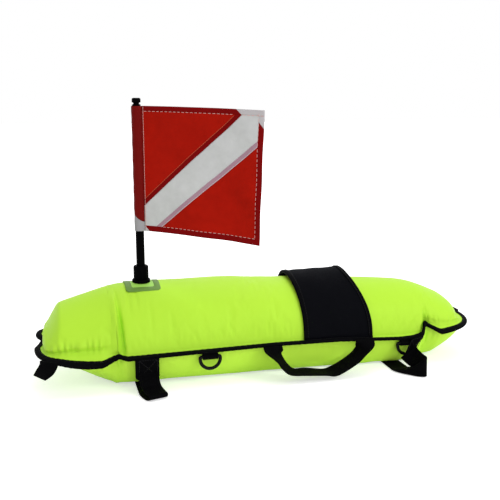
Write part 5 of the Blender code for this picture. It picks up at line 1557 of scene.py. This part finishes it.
def patch_outline():
    """A rounded oblong in plan, in short steps."""
    wide, long, corner = PATCH_LENGTH / 2, PATCH_WIDTH / 2, PATCH_CORNER
    points = []
    for quarter, (sx, sy) in enumerate(((1, 1), (-1, 1), (-1, -1), (1, -1))):
        for k in range(PATCH_CORNER_STEPS + 1):
            angle = math.pi / 2 * (quarter + k / PATCH_CORNER_STEPS)
            x = sx * (wide - corner) + corner * math.cos(angle)
            points.append((x, sy * (long - corner) + corner * math.sin(angle)))
    ring = []
    for (x1, y1), (x2, y2) in zip(points, points[1:] + points[:1]):
        count = max(1, int(math.dist((x1, y1), (x2, y2)) / PATCH_CELL))
        ring += [(x1 + (x2 - x1) * k / count, y1 + (y2 - y1) * k / count) for k in range(count)]
    return ring


def make_patch():
    """A welded oblong of thicker film with a raised rim, and a paler middle round the socket."""
    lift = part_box("pole_patch")[1].z - crown(pole_x, 0.0, 0.0).z
    low, sunk, wide = lift - PATCH_THICKNESS, lift - PATCH_STEP, PATCH_FRAME
    edge = PATCH_ROUNDING
    rim = ((0.0, low), (0.0, lift - edge * 0.8), (edge, lift), (edge * 3, lift), (wide * 0.5, lift),
           (wide - PATCH_FRAME_ROUNDING, lift), (wide, sunk), (wide, low))
    middle = ((wide, low), (wide, sunk), (wide * 1.4, sunk), (wide * 1.9, sunk), (wide * 2.4, sunk))
    outline = patch_outline()
    count = len(outline)
    for name, material, rings in (("pole_patch_rim", PATCH_FRAME_FILM, rim),
                                  ("pole_patch_middle", PATCH_INNER_FILM, middle)):
        verts = []
        for inset, height in rings:
            sx = 1.0 - inset / (PATCH_LENGTH / 2)
            sy = 1.0 - inset / (PATCH_WIDTH / 2)
            verts += [crown(pole_x + x * sx, y * sy, height) for x, y in outline]
        faces = grid_faces(len(rings), count, close_rows=rings == rim, close_columns=True)
        if rings == middle:
            faces += [tuple(reversed(face)) for face in reversed(end_faces(len(rings), count))]
        obj = put(name, verts, faces, [(v.x, v.y) for v in verts])
        obj.data.set_sharp_from_angle(angle=SMOOTH_ANGLE)
        dress(obj, "hull", "patch_film", material, *(["pole_patch"] if rings == rim else []))


# Tow rings

def ring_outline():
    """Middle line of a D-ring: its straight bar, two corners and a bow."""
    wide = (RING_WIDTH - RING_WIRE) / 2
    tall = RING_HEIGHT - RING_WIRE
    corner = RING_WIRE * RING_CORNER_SHARE
    outline = [(u * wide, 0.0) for u in (-0.75, -0.4, 0.0, 0.4, 0.75)]
    turns = [math.pi / 2 * k / RING_CORNER_STEPS for k in range(RING_CORNER_STEPS + 1)]
    for angle in reversed(turns):
        outline.append((wide - corner + corner * math.cos(angle), -corner + corner * math.sin(angle)))
    for k in range(1, RING_BOW_STEPS):
        angle = math.pi * k / RING_BOW_STEPS
        outline.append((wide * math.cos(angle), -(tall - wide) - wide * math.sin(angle)))
    return outline + [(-wide + corner - corner * math.cos(a), -corner + corner * math.sin(a)) for a in turns]


def make_tow_rings():
    """Round-wire D-rings on their joints' places."""
    outline = ring_outline()
    for joint in frame["joints"]:
        if not joint["name"].startswith("ring_"):
            continue
        node = "tow_" + joint["name"].replace("_swing", "")
        middle = Vector(joint["pos_m"])
        verts = []
        for k, (u, w) in enumerate(outline):
            tangent = (Vector(outline[(k + 1) % len(outline)]) - Vector(outline[k - 1])).normalized()
            outward = Vector((-tangent.y, tangent.x))
            for i in range(RING_SIDES):
                angle = 2 * math.pi * i / RING_SIDES
                radial = outward * RING_WIRE / 2 * math.cos(angle)
                verts.append(middle + Vector((u + radial.x, RING_WIRE / 2 * math.sin(angle), w + radial.y)))
        faces = grid_faces(len(outline), RING_SIDES, close_rows=True, close_columns=True)
        obj = put(node + "_wire", verts, faces)
        dress(obj, body_of(node), "ring_metal", BLACK_METAL, node)


# Small rigid pieces

def finish_solids():
    """Rounds the edges of the moulded solids and the keepers, and gives every one its finish."""
    finishes = {
        "black_plastic": BLACK_PLASTIC, "rubber": RUBBER, "valve_plastic": VALVE_PLASTIC,
        "webbing": WEBBING_CLOTH,
    }
    rows = [
        ("flag_pole", "black_plastic", 0.0004), ("pole_plug", "black_plastic", 0.0004),
        ("pole_cap", "black_plastic", 0.0006), ("grip_ring", "rubber", 0.0003),
        ("socket_base", "black_plastic", 0.0006), ("socket_collar", "black_plastic", 0.0004),
        ("valve_base", "valve_plastic", 0.0005), ("valve_mouthpiece", "rubber", 0.0004),
        ("valve_cap", "valve_plastic", 0.0005),
    ]
    for place in ("near_front", "near_rear", "far_front", "far_rear"):
        rows.append(("ring_tab_" + place, "webbing", 0.0005))
    for node, slot, rounding in rows:
        softened(node, slot, finishes[slot], rounding)
    softened("air_bladder", "bladder_film", BLADDER_FILM, 0.0, BLADDER_SHRINK)


# Floor, lights and camera

CAMERA_PLACE = Vector((-0.419, -1.4824, 0.5476))
CAMERA_YAW = math.radians(15.0)
CAMERA_PITCH = math.radians(11.5)
CAMERA_FOCAL_PX = 785.0
PICTURE_PX = 500.0
SENSOR_MM = 36.0
FLOOR_SIZE = 12.0
FLOOR_GAP = 0.0004
FLOOR_WHITE = (0.86, 0.86, 0.86)
FLOOR_NEAR = 0.5
FLOOR_FAR = 2.0
FLOOR_GLOW = 0.50
WORLD_LIGHT = 0.70
WHITE = (1.0, 1.0, 1.0, 1.0)


def aimed(name, data, place, forward):
    """An object that looks along forward."""
    obj = new_object(name, data)
    obj.location = place
    obj.rotation_mode = "QUATERNION"
    obj.rotation_quaternion = forward.to_track_quat("-Z", "Y")
    return obj


def make_camera():
    data = bpy.data.cameras.new("camera")
    data.sensor_width = SENSOR_MM
    data.lens = CAMERA_FOCAL_PX / PICTURE_PX * SENSOR_MM
    data.clip_start, data.clip_end = 0.01, 50.0
    level = math.cos(CAMERA_PITCH)
    forward = Vector((math.sin(CAMERA_YAW) * level, math.cos(CAMERA_YAW) * level, -math.sin(CAMERA_PITCH)))
    bpy.context.scene.camera = aimed("camera", data, CAMERA_PLACE, forward)


def seen_share(tree):
    """1 for what the camera, mirrors and glass see, else 0."""
    rays = new_node(tree, "LightPath", {}).outputs
    seen = math_node(tree, "ADD", rays["Is Camera Ray"], rays["Is Glossy Ray"], clamp=True)
    return math_node(tree, "ADD", seen, rays["Is Transmission Ray"], clamp=True)


def make_floor():
    """A pale floor that is shaded near the part and plain white far from it."""
    mesh = bpy.data.meshes.new("floor")
    size = FLOOR_SIZE
    mesh.from_pydata([(-size, -size, 0), (size, -size, 0), (size, size, 0), (-size, size, 0)], [],
                     [(0, 1, 2, 3)])
    obj = new_object("floor", mesh)
    obj.location.z = -FLOOR_GAP
    material, tree, shader = node_material("pale_floor", FLOOR_WHITE, 0.95)
    shader.inputs["Specular IOR Level"].default_value = 0.05
    away = new_node(tree, "VectorMath", {0: solid_place(tree)}, operation="LENGTH").outputs["Value"]
    grade = new_node(tree, "MapRange", {"From Min": FLOOR_NEAR, "From Max": FLOOR_FAR, "To Min": FLOOR_GLOW,
                                        "To Max": 1.0, "Value": away}).outputs["Result"]
    strength = times(tree, seen_share(tree), grade)
    glow = new_node(tree, "Emission", {"Color": WHITE, "Strength": strength}).outputs[0]
    both = new_node(tree, "AddShader", {0: shader.outputs[0], 1: glow}).outputs[0]
    fill(tree, tree.nodes["Material Output"], {"Surface": both})
    mesh.materials.append(material)


def make_world():
    world = bpy.data.worlds.new("studio")
    bpy.context.scene.world = world
    world.use_nodes = True
    tree = world.node_tree
    strength = range_to(tree, seen_share(tree), WORLD_LIGHT, 1.0)
    fill(tree, tree.nodes["Background"], {"Color": WHITE, "Strength": strength})


def area_light(name, place, target, size, power):
    data = bpy.data.lights.new(name, "AREA")
    data.shape = "DISK"
    data.size = size
    data.energy = power
    aimed(name, data, place, Vector(target) - Vector(place))


make_camera()
make_covers()
make_binding()
make_band()
make_belly_strap("front", FRONT_STRAP_X, FRONT_STRAP_X, FRONT_TAB_WIDTH, FRONT_STRAP_SHARES, 0.0,
                 FRONT_TAB_TRIM, 0.0)
make_belly_strap("rear", REAR_STRAP_X, REAR_TAB_X, REAR_TAB_WIDTH, REAR_STRAP_SHARES, -REAR_TAB_LEAN,
                 REAR_TAB_TRIM, REAR_TAB_RISE)
make_corner_loops()
make_handle()
make_flag()
make_patch()
make_tow_rings()
finish_solids()
make_floor()
make_world()
area_light("key", (1.5, -1.9, 1.7), (0.0, 0.0, 0.1), 0.9, 16.0)
area_light("top", (0.2, 0.1, 2.4), (0.0, 0.0, 0.1), 1.6, 15.0)
area_light("fill", (0.35, -2.5, 0.15), (0.0, 0.0, 0.08), 2.0, 15.0)
area_light("rim", (0.6, 1.8, 1.8), (0.0, 0.0, 0.1), 1.4, 8.0)
bpy.context.scene.view_settings.view_transform = "Standard"
